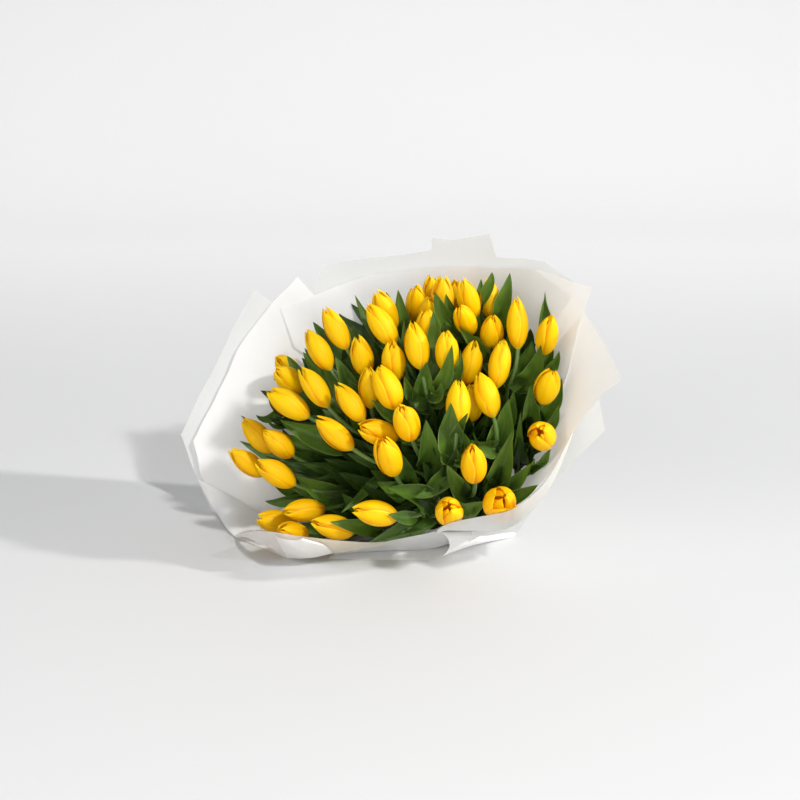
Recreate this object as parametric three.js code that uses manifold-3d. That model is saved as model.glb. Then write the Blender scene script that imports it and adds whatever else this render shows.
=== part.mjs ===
// A bunch of fifty yellow tulips with their leaves, lying on its side in gathered sheets
// of white wrapping paper. Millimetres, +Z up. The mouth of the wrap looks towards -Y and
// a little to -X, the cut stem ends lie behind.

import * as THREE from "three";
import { mergeVertices } from "three/addons/utils/BufferGeometryUtils.js";
import Module from "manifold-3d";

const wasm = await Module();
wasm.setup();
const { Manifold, Mesh } = wasm;

// Driving dimensions: the bunch
const degree = Math.PI / 180;
const tieHeight = 59;
const bunchTilt = 30;
const bunchTurn = 30;
const bloomLength = 54;
const bloomRadius = 14.6;
const stemRadius = 3;
const stemSides = 4;
const slotSpacing = 6.4;
const rowSpacing = 6.15;
const bundleRadius = 28.6;
const wedgeClocksAtTie = [-88, -2, 84, 163];
const wedgeClocksAtBlooms = [-83.5, 14, 80.5, 160.5];
const wedgeOpensAt = 110;
const wedgeGap = 0.5;
const coreHalf = 9;
const tailLength = 112;
const tailBend = 90;
const tailSpread = 0.12;
const seatGap = 0.35;

// Driving dimensions: the leaves
const leafThickness = 0.9;
const leafGutter = 0.3;
const leafSheath = 32;
const leafClearance = 1.2;
const bladeGap = 0.32;
const wrapMargin = 6;

// Driving dimensions: the paper and its tie
const paperThickness = 0.8;
const layerStep = 1.5;
const outerLayer = 3;
const waistRadius = 33.2;
const flareStart = 30;
const skirtLength = 62;
const skirtFlare = 3;
const cordRadius = 1.7;
const cordTurns = 3;
const waistBand = cordRadius * cordTurns + 1.5;

// The eye point that flowers, leaves and paper edges are set out from. A sight point is an
// x and y in an 800 x 800 picture plane, and sightScale is that plane's distance.
const eye = new THREE.Vector3(-85, -1622, 606);
const eyeTilt = 16;
const sightScale = 1304;
const sightMiddle = 400;

// Each tulip's bloom: tip x, tip y, base x, base y, reach from the tie, openness
const tulips = [
  [448, 506, 450, 518, 250, 0.35],
  [504, 496, 497, 510, 246, 1.0],
  [539, 431, 545, 441, 250, 0.4],
  [352, 510, 398, 517, 250, 0.25],
  [311, 521, 354, 532, 250, 0.2],
  [279, 530, 306, 536, 274, 0.1],
  [255, 518, 297, 525, 254, 0.25],
  [283, 512, 325, 509, 246, 0.15],
  [256, 461, 295, 485, 262, 0.2],
  [229, 449, 264, 475, 272, 0.1],
  [472, 444, 475, 482, 248, 0.3],
  [382, 437, 395, 475, 250, 0.35],
  [358, 426, 397, 438, 236, 0.3],
  [315, 418, 353, 449, 258, 0.15],
  [242, 419, 272, 452, 268, 0.2],
  [263, 430, 293, 456, 252, 0.2],
  [400, 404, 412, 440, 250, 0.35],
  [553, 369, 542, 403, 250, 0.25],
  [478, 373, 494, 417, 250, 0.2],
  [458, 379, 457, 429, 254, 0.25],
  [471, 383, 472, 421, 232, 0.1],
  [267, 390, 309, 417, 262, 0.35],
  [300, 366, 328, 407, 258, 0.15],
  [275, 368, 301, 391, 250, 0.3],
  [336, 384, 364, 421, 252, 0.15],
  [377, 366, 397, 409, 254, 0.5],
  [368, 365, 371, 408, 236, 0.1],
  [276, 357, 296, 375, 244, 0.1],
  [392, 341, 395, 382, 250, 0.25],
  [357, 336, 367, 376, 250, 0.2],
  [306, 328, 331, 370, 262, 0.2],
  [411, 321, 421, 369, 258, 0.25],
  [447, 330, 447, 372, 246, 0.2],
  [503, 338, 496, 388, 256, 0.15],
  [476, 341, 466, 384, 256, 0.2],
  [323, 307, 347, 349, 266, 0.15],
  [366, 303, 395, 345, 262, 0.25],
  [426, 309, 427, 348, 248, 0.2],
  [430, 296, 429, 327, 228, 0.1],
  [376, 291, 394, 330, 244, 0.25],
  [551, 315, 544, 354, 262, 0.15],
  [516, 297, 518, 349, 262, 0.1],
  [492, 315, 491, 349, 250, 0.3],
  [459, 306, 471, 333, 244, 0.2],
  [415, 286, 417, 321, 244, 0.2],
  [443, 276, 442, 322, 254, 0.3],
  [462, 278, 474, 319, 252, 0.2],
  [488, 277, 492, 319, 258, 0.1],
  [432, 275, 433, 313, 232, 0.2],
  [456, 281, 459, 313, 232, 0.15]
];

// Each leaf that shows: tip x, tip y, lower x, lower y, reach of the tip, width, roll
const leaves = [
  [492, 272, 493, 290, 292, 15, 20],
  [510, 273, 503, 323, 296, 26, 15],
  [551, 286, 546, 318, 300, 17, 10],
  [435, 292, 444, 333, 276, 26, 0],
  [433, 311, 440, 349, 278, 24, 10],
  [455, 311, 448, 335, 270, 16, -30],
  [479, 313, 474, 338, 274, 18, 10],
  [460, 324, 488, 360, 282, 22, 30],
  [516, 300, 510, 393, 300, 25, 5],
  [452, 345, 450, 388, 280, 20, 20],
  [554, 338, 545, 386, 280, 20, 20],
  [559, 351, 551, 378, 274, 18, -30],
  [532, 341, 523, 382, 268, 30, -10],
  [541, 345, 535, 394, 276, 28, 15],
  [530, 386, 533, 427, 276, 23, 0],
  [355, 295, 376, 346, 282, 16, 15],
  [344, 321, 354, 346, 270, 14, 0],
  [386, 292, 401, 336, 270, 24, 0],
  [398, 290, 405, 350, 280, 30, -10],
  [404, 320, 405, 374, 282, 14, 30],
  [427, 362, 418, 407, 272, 32, 0],
  [431, 348, 433, 420, 262, 26, 25],
  [404, 376, 416, 408, 268, 20, 30],
  [335, 357, 354, 390, 272, 22, 0],
  [313, 322, 331, 344, 270, 18, 20],
  [303, 352, 320, 376, 268, 18, 10],
  [287, 356, 301, 372, 268, 16, 20],
  [282, 375, 308, 402, 268, 20, 20],
  [321, 366, 335, 394, 266, 22, 0],
  [256, 415, 274, 431, 272, 16, 20],
  [240, 441, 275, 457, 282, 17, 20],
  [280, 420, 340, 452, 282, 36, 10],
  [278, 433, 350, 478, 272, 44, -15],
  [276, 463, 345, 481, 268, 34, 20],
  [294, 477, 350, 507, 266, 36, -10],
  [270, 479, 298, 499, 262, 26, -20],
  [265, 501, 292, 508, 266, 16, 10],
  [294, 527, 324, 537, 272, 18, 10],
  [330, 522, 382, 530, 286, 24, 10],
  [346, 411, 367, 428, 268, 20, 0],
  [372, 400, 399, 425, 272, 24, -20],
  [426, 420, 433, 482, 276, 34, 0],
  [401, 443, 424, 437, 268, 20, 20],
  [398, 451, 410, 484, 262, 26, 10],
  [388, 488, 440, 499, 276, 34, -10],
  [377, 482, 397, 500, 262, 26, -30],
  [341, 513, 377, 479, 262, 14, 30],
  [342, 493, 361, 514, 252, 20, 20],
  [368, 543, 433, 521, 262, 34, 10],
  [451, 403, 450, 450, 276, 34, 0],
  [468, 413, 447, 465, 270, 28, 30],
  [441, 383, 446, 410, 266, 18, 20],
  [471, 440, 495, 452, 252, 24, 30],
  [509, 399, 500, 450, 276, 32, 0],
  [512, 432, 500, 484, 276, 34, 0],
  [521, 412, 518, 464, 268, 16, 20],
  [563, 379, 556, 413, 276, 28, 10],
  [509, 466, 530, 490, 258, 26, 20],
  [552, 449, 540, 475, 262, 26, 10],
  [537, 486, 521, 499, 256, 22, 20],
  [447, 465, 464, 502, 262, 26, 0],
  [485, 502, 454, 521, 262, 30, 0]
];

// The bunch's own axes: along it, across it and up from it
const along = new THREE.Vector3(
  -Math.sin(bunchTurn * degree) * Math.cos(bunchTilt * degree),
  -Math.cos(bunchTurn * degree) * Math.cos(bunchTilt * degree),
  Math.sin(bunchTilt * degree)
);
const across = new THREE.Vector3(Math.cos(bunchTurn * degree), -Math.sin(bunchTurn * degree), 0);
const upright = new THREE.Vector3().crossVectors(across, along).multiplyScalar(-1);
if (upright.z < 0) {
  upright.multiplyScalar(-1);
}
const tie = new THREE.Vector3(0, 0, tieHeight);

// Sight rule: points set out from the eye point
const eyeForward = new THREE.Vector3(0, Math.cos(eyeTilt * degree), -Math.sin(eyeTilt * degree));
const eyeUp = new THREE.Vector3(0, Math.sin(eyeTilt * degree), Math.cos(eyeTilt * degree));

function sightLine(x, y) {
  const line = eyeForward.clone();
  line.addScaledVector(new THREE.Vector3(1, 0, 0), (x - sightMiddle) / sightScale);
  line.addScaledVector(eyeUp, (sightMiddle - y) / sightScale);
  return line;
}

// The nearer point of a sight line at a given distance from a centre
function pointAtDistance(x, y, centre, distance) {
  const line = sightLine(x, y);
  const offset = eye.clone().sub(centre);
  const square = line.dot(line);
  const half = offset.dot(line);
  const rest = Math.max(half * half - square * (offset.dot(offset) - distance * distance), 0);
  return eye.clone().addScaledVector(line, (-half - Math.sqrt(rest)) / square);
}

// Small seeded generator for the natural scatter
function makeRandom(seed) {
  let state = seed;
  return () => {
    state = (state * 1664525 + 1013904223) % 4294967296;
    return state / 4294967296;
  };
}

// Bloom profile: radius as a share of the full one, at a share of the height
const bloomProfile = [
  [0.0, 0.24],
  [0.13, 0.74],
  [0.42, 1.0],
  [0.72, 0.86]
];
const bloomTip = 0.3;

function makeBloomPlace(row, index) {
  const random = makeRandom(1000 + index * 77);
  return {
    sight: row,
    reach: row[4],
    open: row[5],
    length: bloomLength * (0.94 + 0.12 * random()),
    radius: bloomRadius * (0.93 + 0.12 * random()),
    spin: random() * 120 * degree,
    random
  };
}

function settleBloom(bloom) {
  const [tipX, tipY, baseX, baseY] = bloom.sight;
  bloom.base = pointAtDistance(baseX, baseY, tie, bloom.reach);
  bloom.tip = pointAtDistance(tipX, tipY, bloom.base, bloom.length);
  bloom.axis = bloom.tip.clone().sub(bloom.base).normalize();
  bloom.size = bloom.tip.distanceTo(bloom.base);
}

// Balls along a bloom's axis, for keeping other things clear of it
function bloomBalls(bloom) {
  const shares = [[0.1, 0.56], [0.3, 0.95], [0.5, 1.03], [0.7, 0.9], [0.88, 0.62], [0.98, 0.36]];
  return shares.map(([height, share]) => ({
    centre: bloom.base.clone().addScaledVector(bloom.axis, bloom.size * height),
    radius: bloom.radius * (share + (height > 0.6 ? 0.25 * bloom.open : 0))
  }));
}

function bloomsTouch(one, other) {
  if (one.base.distanceTo(other.base) > 3 * bloomLength) {
    return false;
  }
  return one.balls.some((a) =>
    other.balls.some((b) => a.centre.distanceTo(b.centre) < a.radius + b.radius + 0.8)
  );
}

// Blooms are settled from the front to the back, and one that would press into those in
// front of it sits lower in the bunch
function settleBlooms() {
  const blooms = tulips.map(makeBloomPlace);
  const settled = [];
  for (const bloom of blooms) {
    const start = bloom.reach;
    let best = start;
    for (let step = 0; step <= 24; step += 1) {
      bloom.reach = start - step * 2.5;
      settleBloom(bloom);
      bloom.balls = bloomBalls(bloom);
      if (!settled.some((other) => bloomsTouch(bloom, other))) {
        best = bloom.reach;
        break;
      }
    }
    bloom.reach = best;
    settleBloom(bloom);
    bloom.balls = bloomBalls(bloom);
    settled.push(bloom);
  }
  return settled;
}

const blooms = settleBlooms();

// Centre line of the bunch behind the tie: it bends level, to lie on the floor
function spine(position) {
  if (position >= 0) {
    return { centre: tie.clone().addScaledVector(along, position), up: upright.clone() };
  }
  const level = new THREE.Vector3(along.x, along.y, 0).normalize();
  const bend = bunchTilt * degree;
  const back = Math.min(-position, tailBend);
  const pitch = bend * (1 - back / tailBend);
  const radius = tailBend / bend;
  const run = radius * (Math.sin(bend) - Math.sin(pitch)) + (-position - back);
  const drop = radius * (Math.cos(pitch) - Math.cos(bend));
  const centre = tie.clone().addScaledVector(level, -run);
  centre.z -= drop;
  const up = new THREE.Vector3(0, 0, Math.cos(pitch)).addScaledVector(level, -Math.sin(pitch));
  return { centre, up };
}

// Clock angle, height along the bunch and distance from its centre line
function bunchPlace(point) {
  const offset = point.clone().sub(tie);
  const height = offset.dot(along);
  const x = offset.dot(across);
  const y = offset.dot(upright);
  return { clock: Math.atan2(y, x), height, radius: Math.hypot(x, y) };
}

// Flare of the wrap in degrees at clock angles right, top, left and bottom
const flareStops = [
  [-180, 64],
  [-140, 67],
  [-90, 57],
  [-45, 48],
  [0, 50],
  [45, 53],
  [90, 56],
  [135, 59],
  [180, 64]
];

function readStops(stops, value) {
  let last = stops[0];
  for (const stop of stops) {
    if (stop[0] >= value) {
      const share = stop[0] === last[0] ? 0 : (value - last[0]) / (stop[0] - last[0]);
      const smooth = share * share * (3 - 2 * share);
      return last[1] + (stop[1] - last[1]) * smooth;
    }
    last = stop;
  }
  return last[1];
}

// Distance of the wrap from the centre line
function wrapRadius(clock, height, layer, flare) {
  const angle = (readStops(flareStops, clock / degree) + flare) * degree;
  const base = waistRadius + layer * layerStep;
  const beyond = Math.max(Math.abs(height) - waistBand, 0);
  let radius = base + (skirtFlare * beyond) / skirtLength;
  if (height > 0) {
    radius = base + Math.tan(angle) * (beyond - flareStart * (1 - Math.exp(-beyond / flareStart)));
  }
  const place = spine(height);
  const fall = -Math.sin(clock) * place.up.z;
  if (fall > 0.02) {
    const lift = (outerLayer - layer) * layerStep;
    radius = Math.min(radius, (place.centre.z - lift) / fall);
  }
  return radius;
}

// The wrap is a net of flat facets that every sheet follows, so that sheets lie evenly on
// one another
const netStep = 18 * degree;
const netHeights = [-skirtLength, -waistBand, waistBand, 30, 62, 110, 160, 210, 270, 350, 440];

function netPoint(clock, height, layer, flare) {
  const place = spine(height);
  const radius = wrapRadius(Math.atan2(Math.sin(clock), Math.cos(clock)), height, layer, flare);
  return place.centre
    .addScaledVector(across, radius * Math.cos(clock))
    .addScaledVector(place.up, radius * Math.sin(clock));
}

function wrapPoint(clock, height, layer, flare) {
  const cell = Math.floor(clock / netStep);
  const turn = clock / netStep - cell;
  const last = netHeights.length - 1;
  const above = Math.min(Math.max(netHeights.findIndex((level) => level >= height), 1), last);
  const low = netHeights[above - 1];
  const high = netHeights[above];
  const rise = Math.min(Math.max((height - low) / (high - low), 0), 1);
  const edge = (level) => {
    const first = netPoint(cell * netStep, level, layer, flare);
    const second = netPoint((cell + 1) * netStep, level, layer, flare);
    return first.lerp(second, turn);
  };
  return edge(low).lerp(edge(high), rise);
}

// A sight point carried onto the wrap
function sightOnWrap(x, y, layer, flare) {
  const line = sightLine(x, y);
  let inside = 900;
  let outside = 2300;
  for (let step = 0; step < 40; step += 1) {
    const middle = (inside + outside) / 2;
    const place = bunchPlace(eye.clone().addScaledVector(line, middle));
    const limit = wrapRadius(place.clock, place.height, layer, flare);
    if (place.height > 0 && place.radius < limit) {
      inside = middle;
    } else {
      outside = middle;
    }
  }
  return bunchPlace(eye.clone().addScaledVector(line, inside));
}

// Closed loft through rings of points, each ring in the same turning sense
function loft(rings, capped = true) {
  const count = rings[0].length;
  const positions = [];
  const indices = [];
  for (const ring of rings) {
    for (const point of ring) {
      positions.push(point.x, point.y, point.z);
    }
  }
  for (let row = 0; row + 1 < rings.length; row += 1) {
    for (let column = 0; column < count; column += 1) {
      const a = row * count + column;
      const b = row * count + ((column + 1) % count);
      indices.push(a, b, b + count, a, b + count, a + count);
    }
  }
  if (capped) {
    const last = (rings.length - 1) * count;
    for (let column = 1; column + 1 < count; column += 1) {
      indices.push(0, column + 1, column);
      indices.push(last, last + column, last + column + 1);
    }
  }
  const geometry = new THREE.BufferGeometry();
  geometry.setAttribute("position", new THREE.Float32BufferAttribute(positions, 3));
  geometry.setIndex(indices);
  return geometry;
}

function signedVolume(geometry) {
  const position = geometry.attributes.position;
  const index = geometry.index;
  const corner = [new THREE.Vector3(), new THREE.Vector3(), new THREE.Vector3()];
  let volume = 0;
  for (let face = 0; face < index.count; face += 3) {
    corner.forEach((point, side) => point.fromBufferAttribute(position, index.getX(face + side)));
    volume += corner[0].dot(corner[1].clone().cross(corner[2])) / 6;
  }
  return volume;
}

function faceOut(geometry) {
  if (signedVolume(geometry) < 0) {
    const index = geometry.index.array;
    for (let face = 0; face < index.length; face += 3) {
      [index[face + 1], index[face + 2]] = [index[face + 2], index[face + 1]];
    }
  }
  return geometry;
}

// Conversions for joins and cuts
function toManifold(geometry) {
  const plain = faceOut(geometry);
  const vertProperties = new Float32Array(plain.attributes.position.array);
  const triVerts = new Uint32Array(plain.index.array);
  const mesh = new Mesh({ numProp: 3, vertProperties, triVerts });
  mesh.merge();
  return new Manifold(mesh);
}

function toGeometry(solid) {
  const mesh = solid.getMesh();
  const geometry = new THREE.BufferGeometry();
  geometry.setAttribute("position", new THREE.Float32BufferAttribute(mesh.vertProperties, 3));
  geometry.setIndex(Array.from(mesh.triVerts));
  return mergeVertices(geometry, 1e-4);
}

function largestBody(solid) {
  const bodies = solid.decompose();
  return bodies.reduce((best, body) => (body.volume() > best.volume() ? body : best));
}

// Corners closer than this are one corner, and loose scraps are dropped
const closeCorners = 0.004;

function cleaned(solid) {
  const geometry = mergeVertices(toGeometry(largestBody(solid)), closeCorners);
  return largestBody(toManifold(geometry));
}

// Bloom: three outer and three inner petals round a bud, raised by formula. A grown bloom
// is filled at its mouth, for cutting other things clear of it
function bloomGeometry(bloom, grow = 0) {
  const columns = 12;
  const side = new THREE.Vector3(0, 0, 1).cross(bloom.axis).normalize();
  const front = new THREE.Vector3().crossVectors(bloom.axis, side);
  const at = (angle, radius, height) =>
    bloom.base
      .clone()
      .addScaledVector(bloom.axis, height)
      .addScaledVector(side, radius * Math.cos(angle))
      .addScaledVector(front, radius * Math.sin(angle));
  const petalWave = (column) => {
    if (column % 2) {
      return -1;
    }
    return column % 4 === 0 ? 1 : 0.45;
  };
  const rings = bloomProfile.map(([height, share]) => {
    const ring = [];
    for (let column = 0; column < columns; column += 1) {
      const angle = bloom.spin + (column / columns) * 2 * Math.PI;
      const relief = 1 + petalWave(column) * (0.03 + 0.07 * height);
      const spread = 1 + 0.3 * bloom.open * Math.max(height - 0.4, 0);
      const radius = bloom.radius * share * relief * spread + grow;
      ring.push(at(angle, radius, bloom.size * height - (height === 0 ? grow : 0)));
    }
    return ring;
  });
  const tips = [];
  const mouth = [];
  for (let column = 0; column < columns; column += 1) {
    const angle = bloom.spin + (column / columns) * 2 * Math.PI;
    const wave = petalWave(column);
    const opened = bloomTip + 0.42 * bloom.open;
    const radius = bloom.radius * (opened + (wave < 0 ? 0.16 : 0)) + grow;
    const height = wave > 0 ? 1 - 0.05 * (1 - wave) : 0.87;
    tips.push(at(angle, radius, bloom.size * height + grow));
    mouth.push(at(angle, Math.max(radius - 2.4 - grow, 1.2), bloom.size * (height - 0.05) + grow));
  }
  rings.push(tips);
  const filled = grow > 0;
  if (bloom.open >= 0.35 && !filled) {
    rings.push(mouth);
  }
  const geometry = loft(rings, false);
  const position = Array.from(geometry.attributes.position.array);
  const index = Array.from(geometry.index.array);
  const hollow = bloom.open >= 0.35 ? 0.72 : 0.84;
  const centre = at(0, 0, bloom.size * (filled ? 1 : hollow) + grow);
  const middle = position.length / 3;
  position.push(centre.x, centre.y, centre.z);
  const last = middle - columns;
  for (let column = 0; column < columns; column += 1) {
    index.push(last + column, last + ((column + 1) % columns), middle);
  }
  for (let column = 1; column + 1 < columns; column += 1) {
    index.push(0, column + 1, column);
  }
  const closed = new THREE.BufferGeometry();
  closed.setAttribute("position", new THREE.Float32BufferAttribute(position, 3));
  closed.setIndex(index);
  return faceOut(closed);
}

// Wedges of the bunch: their bounds turn from an even split of the stems at the tie to an
// even split of the blooms
const wedgeCount = wedgeClocksAtTie.length;

function wedgeBound(wedge, height) {
  const share = Math.min(Math.max(height / wedgeOpensAt, 0), 1);
  const turns = Math.floor(wedge / wedgeCount) * 360;
  const from = wedgeClocksAtTie[wedge % wedgeCount];
  const to = wedgeClocksAtBlooms[wedge % wedgeCount];
  return (from + (to - from) * share * share * (3 - 2 * share) + turns) * degree;
}

function wedgeOf(clock) {
  for (let wedge = 0; wedge < wedgeCount; wedge += 1) {
    const from = wedgeBound(wedge, wedgeOpensAt);
    const turned = (clock - from + 4 * Math.PI) % (2 * Math.PI);
    if (turned < wedgeBound(wedge + 1, wedgeOpensAt) - from) {
      return wedge;
    }
  }
  return 0;
}

function keepInWedge(point, wedge, margin) {
  const { height } = bunchPlace(point);
  const from = wedgeBound(wedge, height);
  const to = wedgeBound(wedge + 1, height);
  const inwardNormal = (clock, sense) =>
    across
      .clone()
      .multiplyScalar(-sense * Math.sin(clock))
      .addScaledVector(upright, sense * Math.cos(clock));
  for (const normal of [inwardNormal(from, 1), inwardNormal(to, -1)]) {
    const distance = point.clone().sub(tie).dot(normal);
    if (distance < margin) {
      point.addScaledVector(normal, margin - distance);
    }
  }
  return point;
}

function keepInWrap(point, margin) {
  const place = bunchPlace(point);
  if (place.height < 0) {
    return point;
  }
  const centre = tie.clone().addScaledVector(along, place.height);
  const limit = wrapPoint(place.clock, place.height, 0.6, 0).distanceTo(centre) - margin;
  if (place.radius > limit) {
    point.addScaledVector(centre.sub(point).normalize(), place.radius - limit);
  }
  return point;
}

blooms.forEach((bloom) => {
  bloom.place = bunchPlace(bloom.base);
  bloom.wedge = wedgeOf(bloom.place.clock);
});

// Stem slots at the tie, in rows across each wedge
function slotPull(bloom, slot) {
  const reach = bloom.place.radius / bloom.place.height;
  const x = bundleRadius * reach * Math.cos(bloom.place.clock);
  const y = bundleRadius * reach * Math.sin(bloom.place.clock);
  return (slot[0] - x) ** 2 + (slot[1] - y) ** 2;
}

// Two stems swap slots where that keeps them from crossing
function swapSlots(own) {
  for (let round = 0; round < 6; round += 1) {
    own.forEach((one) => {
      own.forEach((other) => {
        const now = slotPull(one, one.slot) + slotPull(other, other.slot);
        const swapped = slotPull(one, other.slot) + slotPull(other, one.slot);
        if (swapped < now) {
          [one.slot, other.slot] = [other.slot, one.slot];
        }
      });
    });
  }
}

function giveSlots(wedge) {
  const own = blooms.filter((bloom) => bloom.wedge === wedge);
  own.sort((a, b) => a.place.radius / a.place.height - b.place.radius / b.place.height);
  const from = wedgeBound(wedge, 0);
  const half = (wedgeBound(wedge + 1, 0) - from) / 2;
  const bisector = from + half;
  const margin = stemRadius + wedgeGap;
  let distance = margin / Math.sin(half);
  while (own.length) {
    const sideRoom = distance * Math.tan(half) - margin / Math.cos(half);
    const roundRoom = Math.sqrt(Math.max(bundleRadius ** 2 - distance ** 2, 0));
    const room = Math.floor((2 * Math.min(sideRoom, roundRoom) + 0.1) / slotSpacing) + 1;
    const taken = own.splice(0, room);
    const turned = (bloom) => (bloom.place.clock - from + 4 * Math.PI) % (2 * Math.PI);
    taken.sort((a, b) => turned(a) - turned(b));
    const position = distance;
    taken.forEach((bloom, place) => {
      const sideways = (place - (taken.length - 1) / 2) * slotSpacing;
      bloom.slot = [
        position * Math.cos(bisector) - sideways * Math.sin(bisector),
        position * Math.sin(bisector) + sideways * Math.cos(bisector)
      ];
    });
    distance += rowSpacing;
  }
  swapSlots(blooms.filter((bloom) => bloom.wedge === wedge));
}

for (let wedge = 0; wedge < wedgeCount; wedge += 1) {
  giveSlots(wedge);
}

function slotPoint(bloom, position) {
  const place = spine(position);
  const spread = 1 + tailSpread * (Math.max(-position, 0) / tailLength) ** 2;
  return place.centre
    .addScaledVector(across, bloom.slot[0] * spread)
    .addScaledVector(place.up, bloom.slot[1] * spread);
}

// Stem above the tie: leaves the tie along the bunch and bends up into its bloom
function stemPoint(bloom, share) {
  const start = slotPoint(bloom, 8);
  const end = bloom.base.clone().addScaledVector(bloom.axis, -seatGap);
  const reach = start.distanceTo(end);
  const first = start.clone().addScaledVector(along, reach * 0.34);
  const second = end.clone().addScaledVector(bloom.axis, -reach * 0.3);
  const curve = new THREE.CubicBezierCurve3(start, first, second, end);
  const point = curve.getPoint(share);
  if (share < 0.95) {
    keepOffBlooms(point, stemRadius + 1, bloom);
    keepInWrap(point, stemRadius + wrapMargin);
    keepInWedge(point, bloom.wedge, stemRadius + wedgeGap);
  }
  return point;
}

function tube(points, radii, sides, endRun) {
  const rings = [];
  let side = new THREE.Vector3();
  points.forEach((point, row) => {
    const before = points[Math.max(row - 1, 0)];
    const after = points[Math.min(row + 1, points.length - 1)];
    const run = row === points.length - 1 ? endRun.clone() : after.clone().sub(before).normalize();
    if (row === 0) {
      side.crossVectors(run, new THREE.Vector3(0.31, 0.2, 1)).normalize();
    }
    side = side.addScaledVector(run, -side.dot(run)).normalize();
    const other = new THREE.Vector3().crossVectors(run, side);
    const ring = [];
    for (let corner = 0; corner < sides; corner += 1) {
      const angle = (corner / sides) * 2 * Math.PI;
      ring.push(
        point
          .clone()
          .addScaledVector(side, radii[row] * Math.cos(angle))
          .addScaledVector(other, radii[row] * Math.sin(angle))
      );
    }
    rings.push(ring);
  });
  return loft(rings);
}

function upperStem(bloom) {
  const points = [slotPoint(bloom, coreHalf - 1.5)];
  for (const share of [0.36, 0.72]) {
    points.push(stemPoint(bloom, share));
  }
  points.push(bloom.base.clone().addScaledVector(bloom.axis, -seatGap));
  const radii = [1, 0.95, 0.9, 0.85].map((share) => share * stemRadius);
  return tube(points, radii, stemSides, bloom.axis);
}

function lowerStem(bloom) {
  const cut = tailLength + 14 * (bloom.random() - 0.5);
  const points = [slotPoint(bloom, -cut), slotPoint(bloom, -46), slotPoint(bloom, 1.5 - coreHalf)];
  const radii = points.map(() => stemRadius);
  return tube(points, radii, stemSides, along);
}

// Stems and leaves pass between the blooms
function keepOffBlooms(point, margin, own) {
  for (const bloom of blooms) {
    if (bloom === own || bloom.base.distanceTo(point) > 2 * bloomLength) {
      continue;
    }
    for (const ball of bloom.balls) {
      const offset = point.clone().sub(ball.centre);
      const limit = ball.radius + margin;
      if (offset.length() < limit) {
        point.addScaledVector(offset.normalize(), limit - point.distanceTo(ball.centre));
      }
    }
  }
  return point;
}

// Leaf: a gutter blade that clasps its stem low down and opens between the blooms
function leafPlace(row) {
  const [tipX, tipY, lowX, lowY, reach, width, roll] = row;
  const drop = Math.hypot(tipX - lowX, tipY - lowY) * 1.15 * 0.9;
  const tip = pointAtDistance(tipX, tipY, tie, reach);
  const low = pointAtDistance(lowX, lowY, tie, Math.max(reach - drop, 150));
  const middle = tip.clone().add(low).multiplyScalar(0.5);
  const wedge = wedgeOf(bunchPlace(middle).clock);
  const own = blooms.filter((bloom) => bloom.wedge === wedge);
  const gap = (bloom) => stemPoint(bloom, 0.7).distanceTo(low);
  const carrier = own.reduce((best, bloom) => (gap(bloom) < gap(best) ? bloom : best));
  return { tip, low, wedge, carrier, width, roll: roll * degree };
}

const broadLeaf = { from: 22, rows: [0, 0.34, 0.62, 0.84, 1], widths: [0.24, 0.8, 1, 0.62, 0.06] };
const slimLeaf = { from: 0, rows: [0, 0.42, 0.74, 1], widths: [0.3, 0.95, 0.82, 0.08] };

function leafPath(leaf) {
  const sheath = leaf.low.distanceTo(tie) - leafSheath;
  const start = stemPoint(leaf.carrier, sheath / leaf.carrier.reach);
  const run = leaf.tip.clone().sub(leaf.low);
  const first = start.clone().lerp(leaf.low, 0.55);
  const second = leaf.low.clone().addScaledVector(run, 0.25);
  return new THREE.CubicBezierCurve3(start, first, second, leaf.tip);
}

function leafGeometry(leaf) {
  const path = leafPath(leaf);
  const form = leaf.width >= broadLeaf.from ? broadLeaf : slimLeaf;
  const rings = form.rows.map((share, row) => {
    const point = path.getPoint(share);
    const run = path.getTangent(share);
    const view = eye.clone().sub(point).normalize();
    const flat = new THREE.Vector3().crossVectors(run, view).normalize();
    const face = new THREE.Vector3().crossVectors(flat, run).normalize();
    const turn = leaf.roll * share;
    const wide = flat.clone().multiplyScalar(Math.cos(turn)).addScaledVector(face, Math.sin(turn));
    const out = new THREE.Vector3().crossVectors(wide, run).normalize();
    const half = (leaf.width / 2) * form.widths[row];
    const settle = (place) => {
      if (row > 0) {
        keepOffBlooms(place, leafClearance + leafThickness);
        keepInWrap(place, wrapMargin);
        keepInWedge(place, leaf.wedge, leafThickness + wedgeGap);
      }
      return place;
    };
    const spot = (sideways, raised) =>
      settle(point.clone().addScaledVector(wide, sideways).addScaledVector(out, raised));
    const keel = spot(0, -half * leafGutter);
    const left = spot(-half, half * leafGutter);
    const right = spot(half, half * leafGutter);
    const lift = out.clone().multiplyScalar(leafThickness);
    return [left, keel.clone().add(lift), right, keel.clone().sub(lift)];
  });
  return loft(rings);
}

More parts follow.
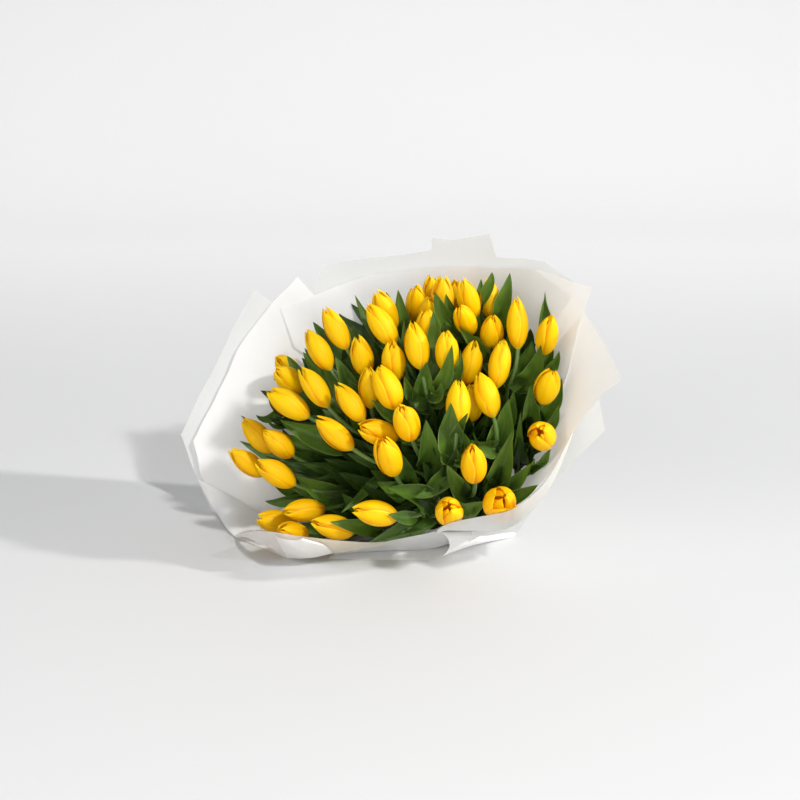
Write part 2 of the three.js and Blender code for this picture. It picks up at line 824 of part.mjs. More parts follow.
// Short core where the stems of one wedge are pressed together by the tie
function coreGeometry(own) {
  const spots = own.flatMap((bloom) =>
    [0, 1, 2, 3, 4, 5].map((corner) => [
      bloom.slot[0] + (stemRadius + 0.25) * Math.cos((corner * Math.PI) / 3),
      bloom.slot[1] + (stemRadius + 0.25) * Math.sin((corner * Math.PI) / 3)
    ])
  );
  const cross = (o, a, b) => (a[0] - o[0]) * (b[1] - o[1]) - (a[1] - o[1]) * (b[0] - o[0]);
  const sorted = spots.sort((a, b) => a[0] - b[0] || a[1] - b[1]);
  const half = (list) => {
    const chain = [];
    for (const spot of list) {
      while (chain.length > 1 && cross(chain[chain.length - 2], chain[chain.length - 1], spot) <= 0) {
        chain.pop();
      }
      chain.push(spot);
    }
    return chain.slice(0, -1);
  };
  const outline = [...half(sorted), ...half([...sorted].reverse())];
  const rings = [-coreHalf, coreHalf].map((position) =>
    outline.map(([x, y]) =>
      spine(0)
        .centre.addScaledVector(along, position)
        .addScaledVector(across, x)
        .addScaledVector(upright, y)
    )
  );
  return loft(rings);
}

// Paper sheets: each has a rim set out by sight points, from its left edge round to its
// right edge, and runs back to a short skirt behind the tie
const sheets = [
  {
    name: "paper_sheet_back",
    layer: 0,
    flare: 0,
    rim: [
      [293, 346], [280, 307], [324, 291], [370, 275], [420, 268], [480, 266], [540, 270], [593, 287],
      [578, 330], [560, 400]
    ]
  },
  {
    name: "paper_sheet_front",
    layer: 1,
    flare: 0,
    rim: [
      [234, 535], [281, 534], [350, 542], [437, 529], [494, 515], [521, 504], [552, 471],
      [573, 432], [605, 392], [622, 380], [600, 340], [585, 312]
    ]
  },
  {
    name: "paper_sheet_left",
    layer: 2,
    flare: 0,
    rim: [
      [297, 276], [273, 301], [237, 350], [220, 374], [200, 420], [190, 450], [203, 480],
      [233, 536], [286, 558], [333, 553]
    ]
  },
  {
    name: "paper_sheet_outer_back",
    layer: 3,
    flare: 2,
    rim: [
      [230, 545], [195, 475], [180, 435], [225, 345], [256, 286], [322, 265], [431, 250], [432, 238],
      [490, 233], [497, 256], [545, 262], [590, 290]
    ]
  },
  {
    name: "paper_sheet_outer_right",
    layer: 3,
    flare: 6,
    rim: [[286, 560], [340, 567], [433, 563], [490, 548], [530, 530], [575, 460], [606, 430], [600, 400]]
  }
];

function sheetSolid(sheet, grow = 0) {
  const rim = sheet.rim.map(([x, y]) => sightOnWrap(x, y, sheet.layer, sheet.flare));
  const sense = Math.sign(
    rim.slice(1).reduce((sum, spot, place) => {
      let step = spot.clock - rim[place].clock;
      step = Math.atan2(Math.sin(step), Math.cos(step));
      return sum + step;
    }, 0)
  );
  const ordered = sense > 0 ? rim : [...rim].reverse();
  const clocks = [ordered[0].clock];
  for (let place = 1; place < ordered.length; place += 1) {
    let step = ordered[place].clock - ordered[place - 1].clock;
    step = Math.atan2(Math.sin(step), Math.cos(step));
    clocks.push(clocks[place - 1] + Math.max(step, 0.4 * degree));
  }
  const columns = [];
  for (let place = 0; place + 1 < clocks.length; place += 1) {
    const from = clocks[place];
    const span = clocks[place + 1] - from;
    const stops = [from];
    for (let cell = Math.floor(from / netStep) + 1; cell * netStep < from + span; cell += 1) {
      if (cell * netStep - stops[stops.length - 1] > 1.5 * degree) {
        stops.push(cell * netStep);
      }
    }
    stops.forEach((clock) => {
      const share = (clock - from) / span;
      const rise = ordered[place + 1].height - ordered[place].height;
      columns.push({ clock, height: ordered[place].height + rise * share });
    });
  }
  columns.push({ clock: clocks[clocks.length - 1], height: ordered[ordered.length - 1].height });
  const reach = Math.max(...columns.map((column) => column.height));
  const levels = netHeights.filter((level, place) => place < 2 || netHeights[place - 1] < reach);
  const cells = [];
  const lastCell = Math.ceil(columns[columns.length - 1].clock / netStep);
  for (let cell = Math.floor(columns[0].clock / netStep); cell <= lastCell; cell += 1) {
    cells.push(cell * netStep);
  }
  const faces = [grow, -paperThickness - grow].map((offset) =>
    levels.map((level) =>
      cells.map((clock) => netPoint(clock, level, sheet.layer + offset / layerStep, sheet.flare))
    )
  );
  const beyond = [cutterFace(columns, sheet, true), cutterFace(columns, sheet, false)];
  const cut = toManifold(shell(faces[0], faces[1])).intersect(toManifold(shell(beyond[0], beyond[1])));
  return cut;
}

// Outer or inner face of the solid that trims a net to a sheet's own edges
function cutterFace(columns, sheet, outer) {
  const at = (clock, height, radius) => {
    const place = spine(height);
    return place.centre
      .addScaledVector(across, radius * Math.cos(clock))
      .addScaledVector(place.up, radius * Math.sin(clock));
  };
  const levels = [-skirtLength - 4, -skirtLength / 2, 0].map((level) =>
    columns.map((column) => at(column.clock, level, outer ? 125 : 6))
  );
  const rim = columns.map((column) => {
    const clock = Math.atan2(Math.sin(column.clock), Math.cos(column.clock));
    const radius = wrapRadius(clock, column.height, sheet.layer, sheet.flare);
    return at(column.clock, column.height, outer ? 1.3 * radius + 40 : 6);
  });
  return [...levels, rim];
}

// Closed shell between two grids of points
function shell(outerGrid, innerGrid) {
  const rows = outerGrid.length;
  const count = outerGrid[0].length;
  const positions = [];
  const indices = [];
  for (const grid of [outerGrid, innerGrid]) {
    for (const row of grid) {
      for (const point of row) {
        positions.push(point.x, point.y, point.z);
      }
    }
  }
  const shift = rows * count;
  const quad = (a, b, c, d) => indices.push(a, b, c, a, c, d);
  for (let row = 0; row + 1 < rows; row += 1) {
    for (let column = 0; column + 1 < count; column += 1) {
      const a = row * count + column;
      quad(a, a + 1, a + 1 + count, a + count);
      quad(a + shift, a + shift + count, a + 1 + shift + count, a + 1 + shift);
    }
  }
  for (let column = 0; column + 1 < count; column += 1) {
    const low = column;
    const high = (rows - 1) * count + column;
    quad(low + shift, low + 1 + shift, low + 1, low);
    quad(high, high + 1, high + 1 + shift, high + shift);
  }
  for (let row = 0; row + 1 < rows; row += 1) {
    const low = row * count;
    const high = row * count + count - 1;
    quad(low, low + count, low + count + shift, low + shift);
    quad(high + shift, high + count + shift, high + count, high);
  }
  const geometry = new THREE.BufferGeometry();
  geometry.setAttribute("position", new THREE.Float32BufferAttribute(positions, 3));
  geometry.setIndex(indices);
  return faceOut(geometry);
}

// Leafy stems: the stems and leaves of one wedge in one body, clear of blooms and paper
const leafPlaces = leaves.map(leafPlace);
const keepouts = Manifold.union([
  ...blooms.map((bloom) => toManifold(bloomGeometry(bloom, bladeGap))),
  ...sheets.map((sheet) => sheetSolid(sheet, bladeGap))
]);

function leafyStems(wedge) {
  const own = blooms.filter((bloom) => bloom.wedge === wedge);
  const bodies = [toManifold(coreGeometry(own))];
  own.forEach((bloom) => bodies.push(toManifold(upperStem(bloom)), toManifold(lowerStem(bloom))));
  leafPlaces
    .filter((leaf) => leaf.wedge === wedge)
    .map((leaf) => toManifold(leafGeometry(leaf)).subtract(keepouts))
    .filter((blade) => blade.numTri() > 0)
    .forEach((blade) => bodies.push(largestBody(blade)));
  const joined = Manifold.union(bodies).subtract(keepouts);
  return cleaned(cleaned(joined).simplify(closeCorners * 10));
}

// Tie: three turns of cord drawn tight round the paper's waist
function tieGeometry() {
  const inner = waistRadius + outerLayer * layerStep + 2 * seatGap;
  const steps = 2 * cordTurns;
  const outline = [];
  for (let step = 0; step <= steps; step += 1) {
    const position = (step / steps - 0.5) * 2 * cordRadius * cordTurns;
    const bulge = Math.abs(Math.sin((step / steps) * cordTurns * Math.PI));
    outline.push(new THREE.Vector2(inner + cordRadius * (0.8 + 1.2 * bulge), position));
  }
  outline.push(new THREE.Vector2(inner, cordRadius * cordTurns));
  outline.push(new THREE.Vector2(inner, -cordRadius * cordTurns));
  outline.push(outline[0].clone());
  const turned = new THREE.LatheGeometry(outline, 24);
  turned.deleteAttribute("normal");
  turned.deleteAttribute("uv");
  const geometry = mergeVertices(turned, 1e-4);
  const facing = new THREE.Quaternion().setFromUnitVectors(new THREE.Vector3(0, 1, 0), along);
  geometry.applyQuaternion(facing);
  geometry.translate(tie.x, tie.y, tie.z);
  return faceOut(geometry);
}

// Colours
const petalLook = { color: 0xf4c20a, roughness: 0.5, metalness: 0 };
const leafLook = { color: 0x2f5a1c, roughness: 0.45, metalness: 0 };
const paperLook = { color: 0xf2f1ec, roughness: 0.75, metalness: 0 };
const cordLook = { color: 0xcdb98c, roughness: 0.9, metalness: 0 };

const bunch = new THREE.Group();

function addPart(name, geometry, look) {
  const mesh = new THREE.Mesh(geometry, new THREE.MeshStandardMaterial(look));
  mesh.name = name;
  bunch.add(mesh);
}

blooms.forEach((bloom, index) => {
  const number = String(index + 1).padStart(2, "0");
  addPart(`bloom_${number}`, bloomGeometry(bloom), petalLook);
});

for (let wedge = 0; wedge < wedgeCount; wedge += 1) {
  addPart(`leafy_stems_${wedge + 1}`, toGeometry(leafyStems(wedge)), leafLook);
}

sheets.forEach((sheet) => addPart(sheet.name, toGeometry(cleaned(sheetSolid(sheet))), paperLook));
addPart("waist_cord", tieGeometry(), cordLook);

// The origin is the middle of the box's underside
bunch.updateMatrixWorld(true);
const box = new THREE.Box3().setFromObject(bunch);
const middle = box.getCenter(new THREE.Vector3());
bunch.children.forEach((mesh) => mesh.geometry.translate(-middle.x, -middle.y, -box.min.z));

export default bunch;
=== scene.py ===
import math

import bpy
import numpy as np
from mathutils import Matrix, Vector


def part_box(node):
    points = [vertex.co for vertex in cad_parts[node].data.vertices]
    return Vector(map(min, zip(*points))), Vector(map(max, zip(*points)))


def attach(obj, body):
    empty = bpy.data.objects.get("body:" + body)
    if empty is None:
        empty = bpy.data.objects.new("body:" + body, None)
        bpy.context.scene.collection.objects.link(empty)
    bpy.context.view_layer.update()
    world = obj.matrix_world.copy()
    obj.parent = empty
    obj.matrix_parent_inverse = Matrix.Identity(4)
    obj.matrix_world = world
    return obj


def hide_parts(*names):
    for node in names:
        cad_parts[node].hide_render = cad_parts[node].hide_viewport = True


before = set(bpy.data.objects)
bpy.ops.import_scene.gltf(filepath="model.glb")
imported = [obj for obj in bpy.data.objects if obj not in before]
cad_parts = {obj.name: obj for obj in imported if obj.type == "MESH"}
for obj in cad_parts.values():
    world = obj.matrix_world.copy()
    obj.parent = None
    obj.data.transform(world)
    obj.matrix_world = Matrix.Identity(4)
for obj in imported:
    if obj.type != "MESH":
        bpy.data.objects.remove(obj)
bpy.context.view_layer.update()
degree = math.pi / 180

bunch = {
    "seed": 1000,
    "tieHeight": 59.0,       # above the floor, in mm as all lengths here
    "tilt": 30,              # degrees up from the floor
    "turn": 30,              # degrees round towards the left
    "bloomLength": 54,
    "bloomRadius": 14.6,
    "bloomGap": 0.8,
    "sinkStep": 2.5,         # how much lower a bloom that presses into another sits, at each try
    "sinkTries": 25,
    "stemRadius": 3,
    "stemGap": 0.5,
    "slotCircle": 28.6,      # where the outermost stems pass the tie
    "slotStep": 6.4,         # between the stems of a row
    "rowStep": 6.15,
    "tailLength": 112,
    "tailBend": 90,
    "tailSpread": 0.12,
}
wrap = {
    "thickness": 0.8,        # paper and air of one layer, as in the solids
    "layerStep": 1.5,
    "outerLayer": 3,
    "waistRadius": 33.2,
    "waistBand": 6.6,
    "flareStart": 30,
    # degrees round the tie, and how far the paper opens there
    "flareStops": [(-180, 64), (-140, 67), (-90, 57), (-45, 48), (0, 50), (45, 53), (90, 56), (135, 59),
                   (180, 64)],
    "skirtLength": 62,
    "skirtFlare": 3,
    "leastFall": 0.02,       # a side that falls less than this does not meet the floor
}

# Everything is laid out round the tie, and moved into the part's own place when its mesh is made
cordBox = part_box("waist_cord")
tie = np.array([0.0, 0.0, bunch["tieHeight"]])
placeOnFloor = np.array([(cordBox[0][i] + cordBox[1][i]) / 2 for i in range(3)]) - tie / 1000

# The eye that flowers, leaves and paper edges are set out from: x and y in a picture 800 wide
eye = np.array([-85.0, -1622.0, 606.0])
eyeTilt = 16
sightScale = 1304
sightMiddle = 400

# Each tulip: tip x, tip y, base x, base y, reach from the tie, openness
tulips = [
    (448, 506, 450, 518, 250, 0.35), (504, 496, 497, 510, 246, 1.0), (539, 431, 545, 441, 250, 0.4),
    (352, 510, 398, 517, 250, 0.25), (311, 521, 354, 532, 250, 0.2), (279, 530, 306, 536, 274, 0.1),
    (255, 518, 297, 525, 254, 0.25), (283, 512, 325, 509, 246, 0.15), (256, 461, 295, 485, 262, 0.2),
    (229, 449, 264, 475, 272, 0.1), (472, 444, 475, 482, 248, 0.3), (382, 437, 395, 475, 250, 0.35),
    (358, 426, 397, 438, 236, 0.3), (315, 418, 353, 449, 258, 0.15), (242, 419, 272, 452, 268, 0.2),
    (263, 430, 293, 456, 252, 0.2), (400, 404, 412, 440, 250, 0.35), (553, 369, 542, 403, 250, 0.25),
    (478, 373, 494, 417, 250, 0.2), (458, 379, 457, 429, 254, 0.25), (471, 383, 472, 421, 232, 0.1),
    (267, 390, 309, 417, 262, 0.35), (300, 366, 328, 407, 258, 0.15), (275, 368, 301, 391, 250, 0.3),
    (336, 384, 364, 421, 252, 0.15), (377, 366, 397, 409, 254, 0.5), (368, 365, 371, 408, 236, 0.1),
    (276, 357, 296, 375, 244, 0.1), (392, 341, 395, 382, 250, 0.25), (357, 336, 367, 376, 250, 0.2),
    (306, 328, 331, 370, 262, 0.2), (411, 321, 421, 369, 258, 0.25), (447, 330, 447, 372, 246, 0.2),
    (503, 338, 496, 388, 256, 0.15), (476, 341, 466, 384, 256, 0.2), (323, 307, 347, 349, 266, 0.15),
    (366, 303, 395, 345, 262, 0.25), (426, 309, 427, 348, 248, 0.2), (430, 296, 429, 327, 228, 0.1),
    (376, 291, 394, 330, 244, 0.25), (551, 315, 544, 354, 262, 0.15), (516, 297, 518, 349, 262, 0.1),
    (492, 315, 491, 349, 250, 0.3), (459, 306, 471, 333, 244, 0.2), (415, 286, 417, 321, 244, 0.2),
    (443, 276, 442, 322, 254, 0.3), (462, 278, 474, 319, 252, 0.2), (488, 277, 492, 319, 258, 0.1),
    (432, 275, 433, 313, 232, 0.2), (456, 281, 459, 313, 232, 0.15),
]

# Each leaf: tip x, tip y, lower x, lower y, reach of the tip, width, roll
leaves = [
    (492, 272, 493, 290, 292, 15, 20), (510, 273, 503, 323, 296, 26, 15),
    (551, 286, 546, 318, 300, 17, 10), (435, 292, 444, 333, 276, 26, 0),
    (433, 311, 440, 349, 278, 24, 10), (455, 311, 448, 335, 270, 16, -30),
    (479, 313, 474, 338, 274, 18, 10), (460, 324, 488, 360, 282, 22, 30),
    (516, 300, 510, 393, 300, 25, 5), (452, 345, 450, 388, 280, 20, 20),
    (554, 338, 545, 386, 280, 20, 20), (559, 351, 551, 378, 274, 18, -30),
    (532, 341, 523, 382, 268, 30, -10), (541, 345, 535, 394, 276, 28, 15),
    (530, 386, 533, 427, 276, 23, 0), (355, 295, 376, 346, 282, 16, 15), (344, 321, 354, 346, 270, 14, 0),
    (386, 292, 401, 336, 270, 24, 0), (398, 290, 405, 350, 280, 30, -10),
    (404, 320, 405, 374, 282, 14, 30), (427, 362, 418, 407, 272, 32, 0),
    (431, 348, 433, 420, 262, 26, 25), (404, 376, 416, 408, 268, 20, 30),
    (335, 357, 354, 390, 272, 22, 0), (313, 322, 331, 344, 270, 18, 20),
    (303, 352, 320, 376, 268, 18, 10), (287, 356, 301, 372, 268, 16, 20),
    (282, 375, 308, 402, 268, 20, 20), (321, 366, 335, 394, 266, 22, 0),
    (256, 415, 274, 431, 272, 16, 20), (240, 441, 275, 457, 282, 17, 20),
    (280, 420, 340, 452, 282, 36, 10), (278, 433, 350, 478, 272, 44, -15),
    (276, 463, 345, 481, 268, 34, 20), (294, 477, 350, 507, 266, 36, -10),
    (270, 479, 298, 499, 262, 26, -20), (265, 501, 292, 508, 266, 16, 10),
    (294, 527, 324, 537, 272, 18, 10), (330, 522, 382, 530, 286, 24, 10),
    (346, 411, 367, 428, 268, 20, 0), (372, 400, 399, 425, 272, 24, -20),
    (426, 420, 433, 482, 276, 34, 0), (401, 443, 424, 437, 268, 20, 20),
    (398, 451, 410, 484, 262, 26, 10), (388, 488, 440, 499, 276, 34, -10),
    (377, 482, 397, 500, 262, 26, -30), (341, 513, 377, 479, 262, 14, 30),
    (342, 493, 361, 514, 252, 20, 20), (368, 543, 433, 521, 262, 34, 10),
    (451, 403, 450, 450, 276, 34, 0), (468, 413, 447, 465, 270, 28, 30),
    (441, 383, 446, 410, 266, 18, 20), (471, 440, 495, 452, 252, 24, 30),
    (509, 399, 500, 450, 276, 32, 0), (512, 432, 497, 496, 276, 31, 0), (521, 411, 516, 474, 268, 13, 20),
    (562, 378, 555, 424, 276, 22, 10), (559, 404, 549, 452, 268, 22, 10),
    (532, 463, 508, 497, 256, 22, 20), (549, 446, 538, 492, 264, 20, 10),
    (538, 485, 512, 503, 254, 20, 20), (447, 465, 464, 502, 262, 26, 0), (485, 502, 454, 521, 262, 30, 0),
    # smaller ones between the blooms, which the solids leave out
    (481, 279, 481, 302, 284, 13, 20), (446, 294, 451, 320, 280, 18, 30),
    (459, 349, 463, 384, 270, 16, -20), (353, 325, 361, 349, 262, 12, 40),
    (425, 293, 428, 318, 262, 16, 20), (394, 381, 405, 408, 260, 16, -20),
    (342, 367, 356, 382, 258, 16, 30), (267, 420, 286, 442, 262, 12, 40),
    (413, 497, 444, 487, 252, 24, 30), (464, 433, 470, 452, 266, 16, 0),
    (459, 452, 463, 472, 256, 12, 20), (291, 487, 331, 502, 262, 24, 35),
    (388, 514, 411, 520, 262, 18, 0), (514, 390, 513, 432, 266, 22, 30), (441, 382, 441, 406, 276, 14, 0),
]


# Vector helpers

def unit(vector):
    return vector / np.linalg.norm(vector, axis=-1, keepdims=True)


def smoothStep(value):
    value = np.clip(value, 0.0, 1.0)
    return value * value * (3 - 2 * value)


tilt = bunch["tilt"] * degree
turn = bunch["turn"] * degree
along = np.array([-math.sin(turn) * math.cos(tilt), -math.cos(turn) * math.cos(tilt), math.sin(tilt)])
across = np.array([math.cos(turn), -math.sin(turn), 0.0])
upright = np.cross(along, across)
if upright[2] < 0:
    upright = -upright
eyeForward = np.array([0.0, math.cos(eyeTilt * degree), -math.sin(eyeTilt * degree)])
eyeUp = np.array([0.0, math.sin(eyeTilt * degree), math.cos(eyeTilt * degree)])


def sightLine(x, y):
    sideways = np.array([(x - sightMiddle) / sightScale, 0, 0])
    return eyeForward + sideways + eyeUp * (sightMiddle - y) / sightScale


def pointAtDistance(x, y, centre, distance):
    line = sightLine(x, y)
    offset = eye - centre
    square = line @ line
    half = offset @ line
    rest = max(half * half - square * (offset @ offset - distance * distance), 0)
    return eye + line * (-half - math.sqrt(rest)) / square


def makeRandom(seed):
    # the same numbers from 0 to 1 in every run
    state = [seed]

    def draw():
        state[0] = (state[0] * 1664525 + 1013904223) % 4294967296
        return state[0] / 4294967296

    return draw


# Where each bloom stands. It is kept apart from others by balls: how high up it, and how wide

bloomBalls = [(0.1, 0.56), (0.3, 0.95), (0.5, 1.03), (0.7, 0.9), (0.88, 0.62), (0.98, 0.36)]


def settleBloom(bloom):
    tipX, tipY, baseX, baseY = bloom["sight"]
    bloom["base"] = pointAtDistance(baseX, baseY, tie, bloom["reach"])
    tip = pointAtDistance(tipX, tipY, bloom["base"], bloom["length"])
    bloom["size"] = float(np.linalg.norm(tip - bloom["base"]))
    bloom["axis"] = unit(tip - bloom["base"])
    centres, radii = [], []
    for height, share in bloomBalls:
        opened = 0.25 * bloom["open"] if height > 0.6 else 0
        centres.append(bloom["base"] + bloom["axis"] * bloom["size"] * height)
        radii.append(bloom["radius"] * (share + opened))
    bloom["centres"], bloom["radii"] = np.array(centres), np.array(radii)


def bloomsTouch(one, other):
    if np.linalg.norm(one["base"] - other["base"]) > 3 * bunch["bloomLength"]:
        return False
    apart = np.linalg.norm(one["centres"][:, None] - other["centres"][None], axis=2)
    return bool((apart < one["radii"][:, None] + other["radii"][None] + bunch["bloomGap"]).any())


def placeBlooms():
    placed = []
    for number, (*sight, reach, openness) in enumerate(tulips):
        draw = makeRandom(bunch["seed"] + number * 77)
        bloom = {"number": number + 1, "sight": tuple(sight), "open": openness}
        bloom["length"] = bunch["bloomLength"] * (0.94 + 0.12 * draw())
        bloom["radius"] = bunch["bloomRadius"] * (0.93 + 0.12 * draw())
        bloom["spin"] = draw() * 120 * degree
        bloom["draw"] = draw
        for step in range(bunch["sinkTries"]):
            bloom["reach"] = reach - step * bunch["sinkStep"]
            settleBloom(bloom)
            if not any(bloomsTouch(bloom, other) for other in placed):
                break
        placed.append(bloom)
    return placed


blooms = placeBlooms()
allCentres = np.concatenate([bloom["centres"] for bloom in blooms])
allRadii = np.concatenate([bloom["radii"] for bloom in blooms])
print("blooms placed:", len(blooms))


# The bunch's centre line: straight up from the tie, bent level behind it

def spine(position):
    if position >= 0:
        return tie + along * position, upright
    level = unit(np.array([along[0], along[1], 0.0]))
    back = min(-position, bunch["tailBend"])
    pitch = tilt * (1 - back / bunch["tailBend"])
    radius = bunch["tailBend"] / tilt
    run = radius * (math.sin(tilt) - math.sin(pitch)) - position - back
    drop = radius * (math.cos(pitch) - math.cos(tilt))
    centre = tie - level * run - np.array([0, 0, drop])
    return centre, np.array([0, 0, math.cos(pitch)]) - level * math.sin(pitch)


def bunchPlace(point):
    # clock, the angle round the centre line, height above the tie, and distance out
    offset = point - tie
    height = offset @ along
    x = offset @ across
    y = offset @ upright
    return np.arctan2(y, x), height, np.hypot(x, y)


def flareAt(clock):
    clock = np.asarray(clock) / degree
    result = np.zeros_like(clock, dtype=float)
    for (fromClock, fromFlare), (toClock, toFlare) in zip(wrap["flareStops"], wrap["flareStops"][1:]):
        share = smoothStep((clock - fromClock) / (toClock - fromClock))
        inside = (clock >= fromClock) & (clock <= toClock)
        result = np.where(inside, fromFlare + (toFlare - fromFlare) * share, result)
    return result


def wrapRadius(clock, height, layer, flare):
    clock = np.arctan2(np.sin(clock), np.cos(clock))
    angle = (flareAt(clock) + flare) * degree
    base = wrap["waistRadius"] + layer * wrap["layerStep"]
    beyond = np.maximum(np.abs(height) - wrap["waistBand"], 0)
    start = wrap["flareStart"]
    opened = base + np.tan(angle) * (beyond - start * (1 - np.exp(-beyond / start)))
    skirt = base + wrap["skirtFlare"] * beyond / wrap["skirtLength"]
    return np.where(height > 0, opened, skirt)


def onFloor(radius, clock, centreHeight, upHeight, layer):
    # no wider than the floor under the paper lets it be
    fall = -np.sin(clock) * upHeight
    lift = (wrap["outerLayer"] - layer) * wrap["layerStep"]
    limit = (centreHeight - lift) / np.maximum(fall, wrap["leastFall"])
    return np.where(fall > wrap["leastFall"], np.minimum(radius, limit), radius)


def keepInWrap(points, margin):
    clock, height, radius = bunchPlace(points)
    limit = wrapRadius(clock, height, 0, 0) - wrap["thickness"]
    limit = onFloor(limit, clock, tie[2] + along[2] * height, upright[2], 0)
    push = np.where(height > 0, np.maximum(radius - (limit - margin), 0), 0)
    inward = unit(tie + height[..., None] * along - points + 1e-9)
    return points + inward * push[..., None]


def sightOnWrap(x, y, layer, flare):
    # where the line of sight through a spot of the picture meets a layer of the wrap from inside
    line = sightLine(x, y)
    near, far = 900.0, 2300.0
    for step in range(40):
        middle = (near + far) / 2
        clock, height, radius = bunchPlace(eye + line * middle)
        limit = wrapRadius(clock, height, layer, flare)
        limit = onFloor(limit, clock, tie[2] + along[2] * height, upright[2], layer)
        if height > 0 and radius < limit:
            near = middle
        else:
            far = middle
    return bunchPlace(eye + line * near)


# The bunch falls into four wedges, as its stems do at the tie
wedgeClocksAtTie = [-88, -2, 84, 163]
wedgeClocksAtBlooms = [-83.5, 14, 80.5, 160.5]
wedgeOpensAt = 110


def wedgeBound(wedge, height):
    share = smoothStep(height / wedgeOpensAt)
    start = wedgeClocksAtTie[wedge % 4]
    end = wedgeClocksAtBlooms[wedge % 4]
    return (start + (end - start) * share + (wedge // 4) * 360) * degree


def clockFrom(start, clock):
    return (clock - start + 4 * math.pi) % (2 * math.pi)


def wedgeOf(clock):
    for wedge in range(4):
        start = wedgeBound(wedge, wedgeOpensAt)
        if clockFrom(start, clock) < wedgeBound(wedge + 1, wedgeOpensAt) - start:
            return wedge
    return 0


for bloom in blooms:
    bloom["clock"], bloom["height"], bloom["out"] = (float(v) for v in bunchPlace(bloom["base"]))
    bloom["wedge"] = wedgeOf(bloom["clock"])


# Stem slots at the tie, in rows across each wedge

def slotPull(bloom, slot):
    # how far a slot lies from the bloom's own way through the tie, squared
    reach = bloom["out"] / bloom["height"] * bunch["slotCircle"]
    x, y = reach * math.cos(bloom["clock"]), reach * math.sin(bloom["clock"])
    return (slot[0] - x) ** 2 + (slot[1] - y) ** 2


def giveSlots(wedge):
    own = sorted([b for b in blooms if b["wedge"] == wedge], key=lambda b: b["out"] / b["height"])
    members = list(own)
    start = wedgeBound(wedge, 0)
    half = (wedgeBound(wedge + 1, 0) - start) / 2
    bisector = start + half
    margin = bunch["stemRadius"] + bunch["stemGap"]
    distance = margin / math.sin(half)
    while own:
        sideRoom = distance * math.tan(half) - margin / math.cos(half)
        roundRoom = math.sqrt(max(bunch["slotCircle"] ** 2 - distance ** 2, 0))
        room = int((2 * min(sideRoom, roundRoom) + 0.1) // bunch["slotStep"]) + 1
        taken, own = own[:room], own[room:]
        taken.sort(key=lambda b: clockFrom(start, b["clock"]))
        for place, bloom in enumerate(taken):
            sideways = (place - (len(taken) - 1) / 2) * bunch["slotStep"]
            bloom["slot"] = (distance * math.cos(bisector) - sideways * math.sin(bisector),
                             distance * math.sin(bisector) + sideways * math.cos(bisector))
        distance += bunch["rowStep"]
    # two stems change places wherever that brings them nearer their blooms
    for turnRound in range(6):
        for one in members:
            for other in members:
                now = slotPull(one, one["slot"]) + slotPull(other, other["slot"])
                swapped = slotPull(one, other["slot"]) + slotPull(other, one["slot"])
                if swapped < now:
                    one["slot"], other["slot"] = other["slot"], one["slot"]


for wedge in range(4):
    giveSlots(wedge)


def slotPoint(bloom, position):
    centre, up = spine(position)
    spread = 1 + bunch["tailSpread"] * (max(-position, 0) / bunch["tailLength"]) ** 2
    return centre + across * bloom["slot"][0] * spread + up * bloom["slot"][1] * spread


def keepOffBlooms(points, margin, own=None):
    points = np.array(points, dtype=float)
    for step in range(2):
        for bloom in blooms:
            if bloom is own:
                continue
            for centre, radius in zip(bloom["centres"], bloom["radii"]):
                offset = points - centre
                apart = np.linalg.norm(offset, axis=-1)
                push = np.maximum(radius + margin - apart, 0) / np.maximum(apart, 1e-6)
                points = points + offset * push[..., None]
    return points


def curvePoints(start, first, second, end, shares):
    shares = np.asarray(shares, dtype=float)[:, None]
    left = 1 - shares
    return (left ** 3 * start + 3 * left ** 2 * shares * first
            + 3 * left * shares ** 2 * second + shares ** 3 * end)


def stemPath(bloom, shares):
    start = slotPoint(bloom, 8)
    end = bloom["base"] + bloom["axis"] * 1.5
    reach = np.linalg.norm(end - start)
    return curvePoints(start, start + along * reach * 0.34, end - bloom["axis"] * reach * 0.3, end, shares)


# Making mesh pieces from grids of points

def linkObject(name, data):
    made = bpy.data.objects.new(name, data)
    bpy.context.scene.collection.objects.link(made)
    return made


def meshOf(name, points, faces, material):
    mesh = bpy.data.meshes.new(name)
    mesh.from_pydata(points, [], faces)
    mesh.materials.append(material)
    mesh.polygons.foreach_set("use_smooth", [True] * len(mesh.polygons))
    return mesh


